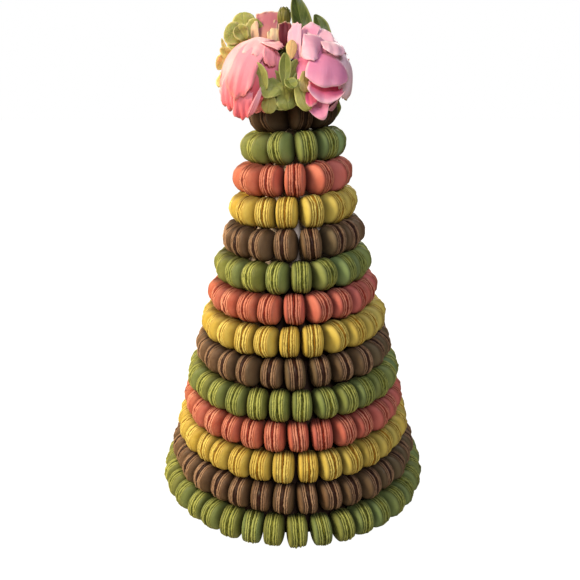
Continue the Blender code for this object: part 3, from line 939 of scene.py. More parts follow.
    def _painted_shade_share(self, points: np.ndarray, tier: int, beside: tuple) -> np.ndarray:
        """Return how much painted shade points get, from how hemmed in they are.

        Args:
            points: points on a macaron.
            tier: its ring.
            beside: the matrix, radius and thickness of its two neighbours.

        Returns:
            A share of painted shade for each point, 0 in the open and 1 against another macaron.
        """
        clear = np.ones(len(points))
        for place, size, thickness in beside:
            local = self._placed(place.inverted(), points)
            out = np.hypot(local[:, 0], local[:, 2]) / size
            dome = thickness / 2 * np.maximum(1.0 - out**2, 0.0) ** 0.4
            aside = np.maximum(np.abs(local[:, 1]) - dome, 0.0)
            gap = np.hypot(aside, np.maximum(out - 1.0, 0.0) * size)
            clear *= 1.0 - smooth(1.05 - gap / self.beside_reach) * self.beside_shade
        upright = self._placed(Matrix.Rotation(self.lean_per_tier * tier, 4, "Y"), points)
        around = np.hypot(upright[:, 0], upright[:, 1])
        for other, shade in ((tier + 1, self.above_shade), (tier - 1, self.below_shade)):
            if 0 <= other < len(self.rings):
                up = upright[:, 2] - self.tier_height(other)
                gap = np.hypot(around - self.rings[other][1] * MM, up)
                clear *= 1.0 - smooth(0.85 - (gap - self.macaron_radius) / self.ring_reach) * shade
        if tier == len(self.rings) - 1:
            # Painted shade from the posy on the top ring, most of all on its upper half.
            up = (upright[:, 2] - self.tier_height(tier)) / self.macaron_radius
            clear *= 1.0 - self.posy_shade - self.posy_shade_upper * smooth(up + 0.3)
        return 1.0 - clear

    @staticmethod
    def _placed(place: Matrix, points: np.ndarray) -> np.ndarray:
        """Return points moved by a matrix."""
        matrix = np.array(place)
        return points @ matrix[:3, :3].T + matrix[:3, 3]


# ---------------------------------------------------------------- the cone


@dataclass
class Cone:
    """The paper-covered cone inside the rings."""

    height: float = 556.0 * MM
    base_radius: float = 153.5 * MM
    top_radius: float = 3.0 * MM
    segments: int = 120
    rings: int = 60
    wrinkle: float = 0.5 * MM
    crease_turns: tuple = (5, 11, 17)   # the waves round it of each set of creases
    seed: int = 11

    def build(self) -> None:
        """Build the cone with its slightly creased paper."""
        draw = np.random.default_rng(self.seed)
        angles = np.linspace(0.0, math.tau, self.segments, endpoint=False)[None, :]
        up = np.linspace(0.0, 1.0, self.rings)[:, None]
        across = self.base_radius + (self.top_radius - self.base_radius) * up
        creases = sum(
            np.sin(angles * turns + draw.uniform(0, 6) + 5.0 * up) * np.sin(math.pi * up)
            for turns in self.crease_turns
        )
        across = across + creases * self.wrinkle / len(self.crease_turns)
        tall = np.broadcast_to(up * self.height, across.shape)
        ring = np.stack([across * np.cos(angles), across * np.sin(angles), tall], -1)
        ends = np.array([[0.0, 0.0, 0.0], [0.0, 0.0, self.height]])
        parts = MeshParts()
        parts.add(np.concatenate([ring.reshape(-1, 3), ends]), lathe_faces(self.rings, self.segments), 0)
        piece = parts.build("cone_paper", [self._paper()])
        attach(piece, BODY)
        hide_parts("cone")
        LOG.info("cone_paper: %d points", parts.count)

    @staticmethod
    def _paper() -> bpy.types.Material:
        """Make the finish of the paper, pale above and with painted shade below the middle rings.

        Returns:
            The material.
        """
        made = Finish("cone_paper", 0.75, 0.3)
        fibres = made.tree.noise(made.where(), 180.0, 4.0, 0.7)
        stains = made.tree.ramp(made.tree.noise(made.where(), 22.0, 2.0), 0.4, 0.7)
        colour = made.tree.blend(stains, Paint(238, 216, 208), Paint(206, 180, 170))
        colour = made.tree.blend(made.tree.maths("MULTIPLY", fibres, 0.25), colour, Paint(250, 236, 230))
        height = made.tree.add("ShaderNodeSeparateXYZ", {"Vector": made.where()}).outputs["Z"]
        # Painted shade: the paper goes dark below the middle rings, where the macarons shade it.
        shaded = made.tree.ramp(height, 0.37, 0.31)
        made.colour(made.tree.blend(shaded, colour, Paint(58, 36, 28)))
        made.relief(fibres, 0.0003)
        return made.material


# ---------------------------------------------------------------- petals and leaves


@dataclass(frozen=True)
class PetalLook:
    """The colours of a flower's petals, from its outer petals' roots to its heart."""

    name: str
    root: Paint
    middle: Paint
    rim: Paint
    heart: Paint
    pale: Paint
    edge: Paint
    vein: Paint
    edge_strength: float
    vein_strength: float = 0.08
    roughness: float = 0.5
    glow: float = 0.12
    sheen: float = 0.15

    def material(self, effects: SharedEffects) -> bpy.types.Material:
        """Make the finish.

        Args:
            effects: the shared effects.

        Returns:
            The material.
        """
        made = Finish(self.name, self.roughness, 0.3)
        tree = made.tree
        along, across, own, inward, tone = (
            made.own_value(name) for name in ("along", "across", "own", "inward", "tone")
        )
        veins = made.group(effects.veins, {"Along": along, "Across": across, "Own": own})
        colour = tree.blend(tree.ramp(along, 0.15, 0.65), self.root, self.middle)
        reach = tree.maths("MULTIPLY_ADD", veins.outputs["Blotch"], 0.14, along)
        colour = tree.blend(tree.ramp(reach, 0.74, 1.10), colour, self.rim)
        colour = tree.blend(tree.ramp(inward, 0.1, 0.9), colour, self.heart)
        cloud = tree.maths("MULTIPLY_ADD", veins.outputs["Blotch"], 0.3, 0.75)
        colour = tree.blend(tree.maths("MULTIPLY", tone, cloud), colour, self.pale)
        vein_share = tree.maths("MULTIPLY", veins.outputs["Veins"], self.vein_strength)
        colour = tree.blend(vein_share, colour, self.vein)
        sides = tree.ramp(tree.maths("ABSOLUTE", across), 0.84, 1.0)
        border = tree.maths("MAXIMUM", sides, tree.ramp(along, 0.93, 1.0))
        colour = tree.blend(tree.maths("MULTIPLY", border, self.edge_strength), colour, self.edge)
        made.colour(colour)
        made.relief(veins.outputs["Height"], 0.0002)
        made.soften(self.glow, 0.004, (1.0, 0.55, 0.45))
        made.shader.inputs["Sheen Weight"].default_value = self.sheen
        return made.material


@dataclass(frozen=True)
class LeafLook:
    """The colours of a leaf or of a green petal."""

    name: str
    blade: Paint
    patch: Paint
    edge: Paint
    vein: Paint
    blush: Paint        # of a blade that has turned
    roughness: float
    glow: float
    pairs: float        # of side veins

    def material(self, effects: SharedEffects) -> bpy.types.Material:
        """Make the finish.

        Args:
            effects: the shared effects.

        Returns:
            The material.
        """
        made = Finish(self.name, self.roughness, 0.4)
        tree = made.tree
        along, across, own = (made.own_value(name) for name in ("along", "across", "own"))
        veins = made.group(effects.leaf_veins, {"Along": along, "Across": across, "Pairs": self.pairs})
        patches = tree.ramp(tree.noise(made.where(), 70.0, 3.0), 0.35, 0.65)
        share = tree.maths("MULTIPLY_ADD", patches, 0.6, tree.maths("MULTIPLY", own, 0.4))
        colour = tree.blend(share, self.blade, self.patch)
        colour = tree.blend(made.own_value("tone"), colour, self.blush)
        border = tree.ramp(tree.maths("ABSOLUTE", across), 0.72, 1.0, 0.0, 0.7)
        colour = tree.blend(border, colour, self.edge)
        colour = tree.blend(tree.maths("MULTIPLY", veins.outputs["Veins"], 0.4), colour, self.vein)
        made.colour(colour)
        made.relief(veins.outputs["Height"], 0.0004)
        made.soften(self.glow, 0.003, (0.6, 1.0, 0.3))
        return made.material


CORAL_PEONY = PetalLook(
    "petal_coral", Paint(246, 168, 196), Paint(242, 132, 160), Paint(232, 98, 116),
    Paint(204, 62, 72), Paint(250, 200, 216), Paint(250, 178, 178), Paint(228, 110, 130), 0.35,
)
PINK_ROSE = PetalLook(
    "petal_pink", Paint(200, 112, 162), Paint(202, 116, 168), Paint(226, 150, 194),
    Paint(206, 46, 108), Paint(226, 192, 216), Paint(248, 206, 226), Paint(192, 100, 150), 0.45,
)
MAUVE_ROSE = PetalLook(
    "petal_mauve", Paint(190, 132, 116), Paint(172, 100, 122), Paint(180, 120, 132),
    Paint(110, 24, 44), Paint(232, 206, 172), Paint(240, 214, 184), Paint(160, 92, 108), 0.5, 0.2,
)
HYDRANGEA = LeafLook(
    "hydrangea_green", Paint(108, 118, 56), Paint(144, 148, 80), Paint(190, 192, 128),
    Paint(160, 166, 100), Paint(214, 174, 124), 0.5, 0.15, 5.0,
)
HYDRANGEA_PALE = LeafLook(
    "hydrangea_pale", Paint(130, 132, 64), Paint(166, 160, 98), Paint(214, 202, 150),
    Paint(176, 174, 116), Paint(236, 214, 160), 0.5, 0.2, 5.0,
)
HYDRANGEA_PEACH = LeafLook(
    "hydrangea_peach", Paint(176, 168, 108), Paint(208, 174, 118), Paint(232, 214, 164),
    Paint(204, 188, 134), Paint(240, 180, 130), 0.5, 0.2, 5.0,
)
BUD_GREEN = LeafLook(
    "bud_green", Paint(82, 80, 22), Paint(114, 108, 42), Paint(162, 154, 80),
    Paint(122, 116, 56), Paint(110, 60, 30), 0.5, 0.2, 4.0,
)
DARK_LEAF = LeafLook(
    "leaf_green", Paint(56, 68, 26), Paint(86, 98, 44), Paint(156, 158, 92),
    Paint(128, 136, 76), Paint(110, 60, 30), 0.4, 0.08, 8.0,
)
FOLIAGE = LeafLook(
    "foliage_green", Paint(48, 56, 24), Paint(76, 80, 38), Paint(110, 112, 62),
    Paint(98, 104, 58), Paint(110, 40, 30), 0.5, 0.05, 6.0,
)


class Posy:
    """The room that the posy's pieces share, clear of each other and of the top ring."""

    SPLIT = np.array([-8.0, 1.0]) * MM      # where the four flowers' quarters meet
    RING_REACH = 60.0 * MM
    RING_TOP = 556.0 * MM
    SOFT = 7.0 * MM                         # how gradually petals are pressed together

    @classmethod
    def own_quarter(cls, points: np.ndarray, centre: np.ndarray) -> np.ndarray:
        """Press a flower's points back inside its own quarter of the posy.

        Args:
            points: the points, with X, Y and Z last.
            centre: the flower's middle.

        Returns:
            The moved points.
        """
        kept = points.copy()
        for axis in (0, 1):
            side = 1.0 if centre[axis] > cls.SPLIT[axis] else -1.0
            inside = (kept[..., axis] - cls.SPLIT[axis]) * side
            near = cls.SOFT * np.exp((inside - cls.SOFT) / cls.SOFT)
            pressed = np.where(inside < cls.SOFT, near, inside)
            kept[..., axis] = cls.SPLIT[axis] + side * pressed
        return kept

    @classmethod
    def clear_of_ring(cls, points: np.ndarray) -> np.ndarray:
        """Move points out of the room that the top ring of macarons takes.

        Args:
            points: the points, with X, Y and Z last.

        Returns:
            The moved points.
        """
        kept = points.copy()
        around = np.hypot(kept[..., 0], kept[..., 1])
        out = cls.RING_REACH - around
        up = cls.RING_TOP - kept[..., 2]
        inside = (out > 0) & (up > 0)
        sideways = inside & (out < up)
        upwards = inside & ~sideways
        factor = np.where(sideways, cls.RING_REACH / np.maximum(around, 1e-6), 1.0)
        kept[..., 0] *= factor
        kept[..., 1] *= factor
        kept[..., 2] = np.where(upwards, cls.RING_TOP, kept[..., 2])
        return kept


@dataclass(frozen=True)
class Whorl:
    """A turn of petals. Angles are in degrees from the way the flower's centre faces."""

    count: int
    depth: float        # distance from the middle, over the flower's radius
    start: float
    rim: float
    spread: float       # half a petal's width
    flare: float        # how far the rim stands out
    ruffle: float
    inward: float       # 0 for an outer petal and 1 for the heart
    turn: float


@dataclass(frozen=True)
class Petal:
    """One petal of a whorl, with its own share of the whorl's numbers."""

    azimuth: float
    depth: float
    start: float
    rim: float
    spread: float
    flare: float
    ruffle: float
    inward: float


def through(places: np.ndarray, way: np.ndarray) -> np.ndarray:
    """Find points on the smooth line through a few places.

    Args:
        places: the places, one row each, evenly spread from 0 to 1 along the line.
        way: how far along each point is.

    Returns:
        The points, with one more axis than the way.
    """
    stops = np.linspace(0.0, 1.0, len(places))
    total = np.zeros((*way.shape, 3))
    for index, place in enumerate(places):
        others = np.delete(stops, index)
        weight = np.prod([(way - other) / (stops[index] - other) for other in others], axis=0)
        total += weight[..., None] * place
    return total


# Of a petal laid along a given line.
FOLD_DEPTH = 0.9 * MM       # of its long folds
OVERLAP = 0.5 * MM          # how far one side of it stands over the other
TIGHTEST = 14.0 * MM        # the least radius that it wraps round


@dataclass(frozen=True)
class Drape:
    """A petal laid along a given line of places in millimetres, from its root to its rim."""

    line: tuple
    width: float
    curl: float = 1.0           # above 1, its sides wrap closer than the flower is round
    tone: float = 0.0           # 1 for the palest petals
    inward: float = 0.0         # 1 for the colour of the heart
    flare: float = 2.0          # how far the rim curls out, in millimetres
    ruffle: float = 1.5
    point: float = 0.18         # how much shorter the sides are than the middle
    root: float = 0.45          # the root's width over the widest
    notch: float = 0.05         # how uneven the rim is
    fade: float = 0.0           # how much of the heart's colour is lost on the way to the rim
    cup: float = 0.0            # how far its sides stand above its middle, in millimetres

    def surface(
        self, centre: np.ndarray, draw: np.random.Generator, rows: int, columns: int
    ) -> np.ndarray:
        """Lay out the middle surface.

        Args:
            centre: the flower's middle, which the petal wraps round.
            draw: the source of its unevenness.
            rows: the number of points along it.
            columns: the number of points across it.

        Returns:
            The points, as rows and columns.
        """
        way = np.linspace(0.0, 1.0, rows)[:, None]
        part = np.linspace(-1.0, 1.0, columns)[None, :]
        notch = self.notch * waves(part, draw, 1.5, 4.5)
        reach = way * (1.0 - (self.point * np.abs(part) ** 2.2 - notch) * way**2)
        places = np.array(self.line, float) * MM
        spine = through(places, reach)
        tangent = through(places, reach + 0.01) - spine
        tangent /= np.linalg.norm(tangent, axis=2, keepdims=True)
        outward = spine - centre
        outward -= tangent * (outward * tangent).sum(2, keepdims=True)
        away = np.linalg.norm(outward, axis=2, keepdims=True)
        outward /= away
        bow = np.maximum(away[..., 0], TIGHTEST) / self.curl
        side = np.cross(tangent, outward)
        full = self.root + (1.0 - self.root) * np.sin(math.pi / 2 * np.minimum(way * 1.5, 1.0))
        half = self.width / 2 * MM * full * (1.0 + 0.05 * waves(way, draw, 1.0, 3.0))
        wrap = part * half / bow
        frill = waves(part, draw, 1.6, 4.5) * way**3 + waves(way, draw, 1.5, 4.0) * part**4
        lift = (
            self.flare * MM * way**5
            + self.ruffle * MM * frill
            + FOLD_DEPTH * waves(part, draw, 1.0, 3.0) * way
            + OVERLAP * part
        )
        points = (
            spine
            + side * (np.sin(wrap) * bow)[..., None]
            + outward * (lift - (1.0 - np.cos(wrap)) * bow)[..., None]
        )
        points[..., 2] += self.cup * MM * part**2 * way
        return points


@dataclass
class Flower:
    """A large flower of wrapped petals."""

    name: str
    node: str
    slot: str
    look: PetalLook
    centre_mm: tuple
    radii_mm: tuple
    facing: tuple           # the way its heart faces
    seed: int
    whorls: tuple
    drapes: tuple = ()
    rows: int = 13
    columns: int = 17
    thickness: float = 0.5 * MM
    # The shape of a whorl's petals, as shares of the flower's radius or of the petal.
    notch: float = 0.05         # how uneven a rim is
    point: float = 0.22         # how much shorter the sides are than the middle
    root: float = 0.45          # the root's width over the widest
    sway: float = 0.06          # how far a petal wanders sideways, in radians
    fold: float = 0.018         # how deep its long folds are
    tuck: float = 0.06          # how much nearer the middle its root is
    overlap: float = 0.035      # how far one side of it stands over the other

    def _whorled(self, draw: np.random.Generator) -> list[Petal]:
        """Return the petals of all the whorls, each a little different."""
        return [
            Petal(
                360.0 * (index + draw.uniform(-0.12, 0.12)) / whorl.count + whorl.turn,
                whorl.depth * (1.0 - 0.02 * (index % 2)),
                whorl.start,
                whorl.rim + draw.uniform(-5, 5),
                whorl.spread * draw.uniform(0.9, 1.1),
                whorl.flare * draw.uniform(0.6, 1.4),
                whorl.ruffle,
                whorl.inward,
            )
            for whorl in self.whorls
            for index in range(whorl.count)
        ]

    def _petal(self, draw: np.random.Generator, petal: Petal) -> np.ndarray:
        """Lay out one petal round the flower's middle.

        Args:
            draw: the source of its unevenness.
            petal: its place and its shape.

        Returns:
            Its middle surface, as rows and columns of points.
        """
        facing = unit(self.facing)
        side = unit(np.cross(facing, (0.0, 0.0, 1.0)))
        up = unit(np.cross(side, facing))
        centre, radii = np.array(self.centre_mm) * MM, np.array(self.radii_mm) * MM
        along = np.linspace(0.0, 1.0, self.rows)[:, None]
        across = np.linspace(-1.0, 1.0, self.columns)[None, :]
        start, rim = math.radians(petal.start), math.radians(petal.rim)
        notch = self.notch * waves(across, draw, 1.5, 4.0)
        edge = 1.0 - self.point * np.abs(across) ** 3 + notch
        polar = start + (rim - start) * along * (1.0 + (edge - 1.0) * along**2)
        widen = self.root + (1.0 - self.root) * np.sin(math.pi / 2 * np.minimum(along * 1.4, 1.0))
        reach = math.radians(petal.spread) * widen / np.maximum(np.sin(polar), 0.34)
        angle = math.radians(petal.azimuth) + across * reach + self.sway * waves(along, draw, 0.5, 1.5)
        ruffle = petal.ruffle * waves(across, draw, 1.8, 4.5) * along**3
        folds = self.fold * waves(across, draw, 1.0, 3.0) * along
        distance = (
            petal.depth * (1.0 + petal.flare * along**4 - self.tuck * (1 - along))
            + ruffle
            + folds
            + self.overlap * across
        )
        direction = (
            facing * np.cos(polar)[..., None]
            + side * (np.sin(polar) * np.cos(angle))[..., None]
            + up * (np.sin(polar) * np.sin(angle))[..., None]
        )
        points = centre + radii * direction * distance[..., None]
        return Posy.clear_of_ring(Posy.own_quarter(points, centre))

    def build(self, effects: SharedEffects) -> None:
        """Build all the petals as one piece.

        Args:
            effects: the shared effects.
        """
        draw = np.random.default_rng(self.seed)
        petals = self._whorled(draw)
        parts = MeshParts()
        centre = np.array(self.centre_mm) * MM
        along, across = across_sheet(self.rows, self.columns)
        for petal in petals:
            points, faces = closed_sheet(self._petal(draw, petal), self.thickness)
            parts.add(
                points, faces, 0, along=along, across=across, own=draw.uniform(),
                inward=petal.inward, tone=0.0,
            )
        for drape in self.drapes:
            grid = Posy.clear_of_ring(drape.surface(centre, draw, self.rows, self.columns))
            points, faces = closed_sheet(grid, self.thickness)
            rimward = along**2
            parts.add(
                points, faces, 0, along=along, across=across, own=draw.uniform(),
                inward=drape.inward * (1.0 - drape.fade * rimward),
                tone=drape.tone * (1.0 - drape.fade * (1.0 - rimward)),
            )
        piece = parts.build(self.name, [self.look.material(effects)])
        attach(piece, BODY)
        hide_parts(self.node)
        LOG.info("%s: %d petals", self.name, len(petals) + len(self.drapes))


# Of a blade, over its width.
STEM = 0.05             # how wide it starts
UNDULATION = 0.035      # how far the whole of it waves
CRINKLE = 0.03          # how far its sides wave
RIB_DEPTH = 0.02        # of the groove down its middle
RIB_WIDTH = 0.12        # of that groove, over half the blade's width


@dataclass(frozen=True)
class Blade:
    """A leaf or a free petal, with its sizes in millimetres."""

    along: tuple                    # the way it points
    face: tuple                     # the way its face looks
    length: float
    width: float
    bend: float                     # how far its tip leaves the straight, over its length
    fold: float                     # how far its sides stand up, over their width
    belly: float = 1.0              # above 1, the widest place is nearer the tip
    start: tuple | None = None      # its own start, where it isn't the head's middle
    tone: float = 0.0               # 1 for a blade that has turned to the look's blush

    def surface(
        self, start: np.ndarray, draw: np.random.Generator, rows: int, columns: int
    ) -> np.ndarray:
        """Lay out the middle surface.

        Args:
            start: where it grows from.
            draw: the source of its unevenness.
            rows: the number of points along it.
            columns: the number of points across it.

        Returns:
            The points, as rows and columns.
        """
        direction = unit(self.along)
        face = np.asarray(self.face, float)
        face = unit(face - direction * face.dot(direction))
        side = np.cross(direction, face)
        length, width = self.length * MM, self.width * MM
        way = np.linspace(0.0, 1.0, rows)[:, None]
        part = np.linspace(-1.0, 1.0, columns)[None, :]
        fullness = np.sin(math.pi * (0.03 + 0.955 * way**self.belly)) ** (0.72 / self.belly)
        half = width / 2 * (STEM + (1.0 - STEM) * fullness)
        rise = self.bend * length * way**2
        edge = np.abs(part) ** 1.5 * half * self.fold
        wave = UNDULATION * width * np.sin(9.0 * way + part)
        wave = wave + CRINKLE * width * part**2 * waves(way, draw, 2.0, 5.0)
        rib = -RIB_DEPTH * width * np.exp(-(part / RIB_WIDTH) ** 2)
        lift = rise + edge + wave + rib
        wobble = 1.0 + 0.04 * waves(way, draw, 2.0, 6.0)
        points = (
            start
            + direction * (length * way)[..., None]
            + side * (half * wobble * part)[..., None]
            + face * lift[..., None]
        )
        return points


@dataclass
class Sprig:
    """A group of leaves or free petals that make one piece."""

    name: str
    node: str
    slot: str
    look: LeafLook
    centre_mm: tuple
    blades: tuple
    heart_mm: float = 0.0           # the radius of the middle's cluster of beads
    beads: int = 7
    bead_sizes: tuple = (0.28, 0.42)    # the least and most of their radii, over the cluster's
    thickness: float = 0.6 * MM
    rows: int = 16
    columns: int = 13
    seed: int = 1

    def build(self, effects: SharedEffects) -> None:
        """Build the blades and the small beads between them.

        Args:
            effects: the shared effects.
        """
        draw = np.random.default_rng(self.seed)
        centre = np.array(self.centre_mm) * MM
        parts = MeshParts()
        along, across = across_sheet(self.rows, self.columns)
        for blade in self.blades:
            start = centre + unit(blade.along) * self.heart_mm * MM * 0.5
            if blade.start is not None:
                start = np.array(blade.start) * MM
            grid = Posy.clear_of_ring(blade.surface(start, draw, self.rows, self.columns))
            points, faces = closed_sheet(grid, self.thickness)
            parts.add(
                points, faces, 0, along=along, across=across, own=draw.uniform(), tone=blade.tone
            )
        if self.heart_mm:
            self._beads(parts, draw, centre)
        piece = parts.build(self.name, [self.look.material(effects)])
        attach(piece, BODY)
        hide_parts(self.node)
        LOG.info("%s: %d blades", self.name, len(self.blades))

    def _beads(self, parts: MeshParts, draw: np.random.Generator, centre: np.ndarray) -> None:
        """Add a cluster of small round beads in the middle.

        Args:
            parts: where they are gathered.
            draw: the source of their places and sizes.
            centre: the middle of the cluster.
        """
        rings, segments = 5, 10
        polar = np.linspace(0, math.pi, rings + 2)[1:-1][:, None]
        angle = np.linspace(0, math.tau, segments, endpoint=False)[None, :]
        up = np.broadcast_to(np.cos(polar), (rings, segments))
        ball = np.stack([np.sin(polar) * np.cos(angle), np.sin(polar) * np.sin(angle), up], -1)
        ball = np.concatenate([ball.reshape(-1, 3), [[0, 0, 1.0], [0, 0, -1.0]]])
        faces = [group[:, ::-1] for group in lathe_faces(rings, segments)]
        for _ in range(self.beads):
            way = unit(draw.normal(size=3))
            size = self.heart_mm * MM * draw.uniform(*self.bead_sizes)
            place = centre + way * self.heart_mm * MM * 0.5
            parts.add(place + ball * size, faces, 0, along=0.5, across=0.4, own=0.6, tone=0.0)


# The whorls, from the outside in: count, depth, start, rim, spread, flare, ruffle, inward, turn.
PEONY_WHORLS = (
    Whorl(5, 0.985, 158, 50, 46, 0.08, 0.030, 0.00, 20),
    Whorl(5, 0.930, 150, 42, 42, 0.12, 0.035, 0.15, 56),
    Whorl(5, 0.860, 140, 34, 38, 0.14, 0.045, 0.30, 5),
    Whorl(5, 0.780, 130, 27, 34, 0.16, 0.055, 0.50, 40),
    Whorl(6, 0.680, 120, 20, 30, 0.20, 0.070, 0.75, 15),
    Whorl(6, 0.540, 110, 12, 28, 0.24, 0.080, 1.00, 45),
)
ROSE_WHORLS = (
    Whorl(4, 0.985, 158, 40, 58, 0.04, 0.020, 0.00, 30),
    Whorl(4, 0.950, 150, 26, 54, 0.04, 0.020, 0.10, 72),
    Whorl(4, 0.900, 140, 15, 50, 0.04, 0.020, 0.50, 20),
    Whorl(4, 0.820, 130, 8, 46, 0.05, 0.020, 0.90, 60),
    Whorl(4, 0.700, 120, 5, 42, 0.06, 0.020, 1.00, 10),
)

PEONY_DRAPES = (
    # The broad petals of its left shoulder and flank.
    Drape(
        ((-26, -20, 620), (-58, -48, 615), (-79, -54, 593), (-86, -48, 560)), 50, tone=0.35,
        flare=0.5, ruffle=2.4,
    ),
    Drape(
        ((-68, -56, 588), (-80, -58, 566), (-82, -52, 546)), 30, tone=0.2,
        flare=1.0, ruffle=2.0,
    ),
    # A deep one beside the hydrangea, darkened with the heart's colour as painted shade.
    Drape(((-32, -62, 600), (-39, -74, 583), (-43, -78, 564), (-49, -76, 546)), 22, inward=0.55),
    # The broad petal down its front, and one outside it.
    Drape(
        ((-22, -36, 615), (-46, -67, 606), (-60, -80, 583), (-67, -80, 552)), 33, tone=0.1,
        ruffle=2.8, root=0.6,
    ),
    Drape(((-50, -62, 598), (-69, -75, 577), (-76, -73, 557), (-73, -66, 540)), 27, ruffle=2.0),
    # The pale one on top.
    Drape(
        ((-28, -26, 620), (-42, -55, 615), (-52, -72, 599)), 34, tone=0.9,
        flare=1.0, root=0.6,
    ),
    # The hanging one below, and the narrow folded one at its right.
    Drape(
        ((-50, -74, 575), (-58, -81, 557), (-61, -78, 542), (-60, -72, 529)), 24, inward=0.4,
        ruffle=2.5,
    ),
    Drape(
        ((-37, -76, 565), (-42, -83, 553), (-47, -82, 543), (-53, -77, 532)), 8, tone=0.3,
        inward=0.1, flare=1.0,
    ),
    # Two small ones at the top right.
    Drape(
        ((-30, -52, 612), (-28, -65, 602), (-27, -71, 587)), 18, tone=0.3,
        flare=1.0, ruffle=1.0,
    ),
    Drape(
        ((-40, -42, 615), (-27, -53, 615), (-13, -53, 610)), 26, tone=0.7,
        flare=1.0, ruffle=1.0,
    ),
)
ROSE_DRAPES = (
    # The two tall petals at the upper left.
    Drape(
        ((10, -34, 572), (2, -50, 596), (-1, -48, 618), (-1, -37, 637)), 25, tone=0.4,
        flare=-1.0, ruffle=0.9, point=0.12, root=0.7, notch=0.02,
    ),
    Drape(
        ((14, -40, 590), (12, -52, 606), (14, -47, 622), (17, -37, 638)), 32, tone=0.2,
        flare=-1.5, ruffle=1.2, point=0.15, notch=0.03,
    ),
    # The hollow's wall and its back.
    Drape(
        ((38, -71, 588), (34, -67, 604), (29, -57, 619), (27, -42, 632)), 34, 0.3, 0.75,
        flare=-1.0, ruffle=0.8, point=0.25, root=0.8, notch=0.02,
    ),
    Drape(
        ((44, -12, 598), (52, -28, 613), (54, -40, 613), (57, -50, 604)), 32, tone=0.9,
        ruffle=0.8, notch=0.02,
    ),
    # The left lobe and the right lobe that curl over the hollow.
    Drape(
        ((32, -68, 605), (24, -75, 610), (15, -77, 608), (8, -71, 604)), 38, 0.6, 0.5,
        flare=0.0, ruffle=1.2, point=0.42, root=0.7, notch=0.01,
    ),
    Drape(
        ((40, -48, 613), (43, -62, 615), (46, -74, 609), (46, -81, 599)), 28, tone=0.8,
        flare=0.5, ruffle=0.5, point=0.2, root=0.7, notch=0.01,
    ),
    # The right flank.
    Drape(
        ((58, -32, 604), (65, -50, 595), (66, -59, 577), (58, -67, 552)), 48, 1.1, 1.0,
        flare=0.5, ruffle=1.0, notch=0.03,
    ),
    # The broad petal that bulges in front.
    Drape(
        ((40, -68, 602), (40, -83, 592), (39, -89, 578), (38, -89, 564)), 53, 1.15, 0.1,
        flare=1.0, ruffle=0.9, point=0.24, root=0.8, notch=0.02,
    ),
    # The left flank, darkened a little with the heart's colour as painted shade from the peony and the
    # leaves, and the deep petal at the lower left.
    Drape(
        ((16, -46, 606), (10, -61, 598), (11, -71, 584), (16, -76, 566)), 20, inward=0.35,
        ruffle=0.8, notch=0.02,
    ),
    Drape(
        ((24, -56, 580), (19, -72, 572), (19, -79, 560), (22, -80, 543)), 20, inward=0.6,
        ruffle=0.8, notch=0.02,
    ),
    # The lip, deep inside and pale at its rim, and the petal that hangs below it.
    Drape(
        ((38, -72, 574), (38, -79, 563), (38, -86, 554), (38, -89, 546)), 45, 0.25, 0.6, 1.0,
        flare=0.5, ruffle=0.8, point=0.1, root=0.9, fade=1.0, notch=0.02, cup=13.0,
    ),
    Drape(
        ((27, -71, 563), (27, -76, 552), (30, -79, 541), (35, -79, 528)), 36,
        flare=0.5, ruffle=0.8, point=0.7, notch=0.02,
    ),
)
MAUVE_DRAPES = (
    # The tall petal in the middle.
    Drape(
        ((-34, 10, 600), (-35, 4, 628), (-34, 14, 646), (-34, 22, 657)), 30,
        ruffle=1.0, point=0.05,
    ),
    # The pale ones at its right and left, and a small one in front.
    Drape(((-24, 14, 600), (-18, 10, 628), (-16, 18, 648)), 20, 1.2, 0.5, ruffle=1.0),
    Drape(((-44, 14, 600), (-52, 8, 626), (-52, 16, 645)), 20, 1.2, 0.6, ruffle=1.0),
    Drape(((-26, 6, 604), (-24, -2, 622), (-25, 4, 634)), 18, tone=0.9, ruffle=1.5),
    # The dark one beside the bud.
    Drape(((-14, 2, 604), (-10, -4, 626), (-11, 2, 642)), 20, inward=1.0, ruffle=1.5),
)
FLOWERS = (
    Flower(
        "peony_left_petals", "peony_left", "petal_coral", CORAL_PEONY,
        (-47, -36, 577), (39, 40, 44), (-0.30, -0.15, -0.94), 21, PEONY_WHORLS, PEONY_DRAPES,
    ),
    Flower(
        "rose_right_petals", "rose_right", "petal_pink", PINK_ROSE,
        (32, -33, 583), (36, 40, 45), (0.18, -0.86, -0.48), 22, ROSE_WHORLS, ROSE_DRAPES,
    ),
    Flower(
        "rose_back_left_petals", "rose_back_left", "petal_mauve", MAUVE_ROSE,
        (-30, 36, 604), (38, 36, 43), (-0.20, 0.70, 0.60), 23, ROSE_WHORLS, MAUVE_DRAPES,
    ),
    Flower(
        "rose_back_right_petals", "rose_back_right", "petal_coral", CORAL_PEONY,
        (33, 40, 586), (40, 39, 44), (0.40, 0.85, 0.10), 24, PEONY_WHORLS,
    ),
)


TOP_LEFT = (-60, 10, 624)       # the middle of the hydrangea head at the top left

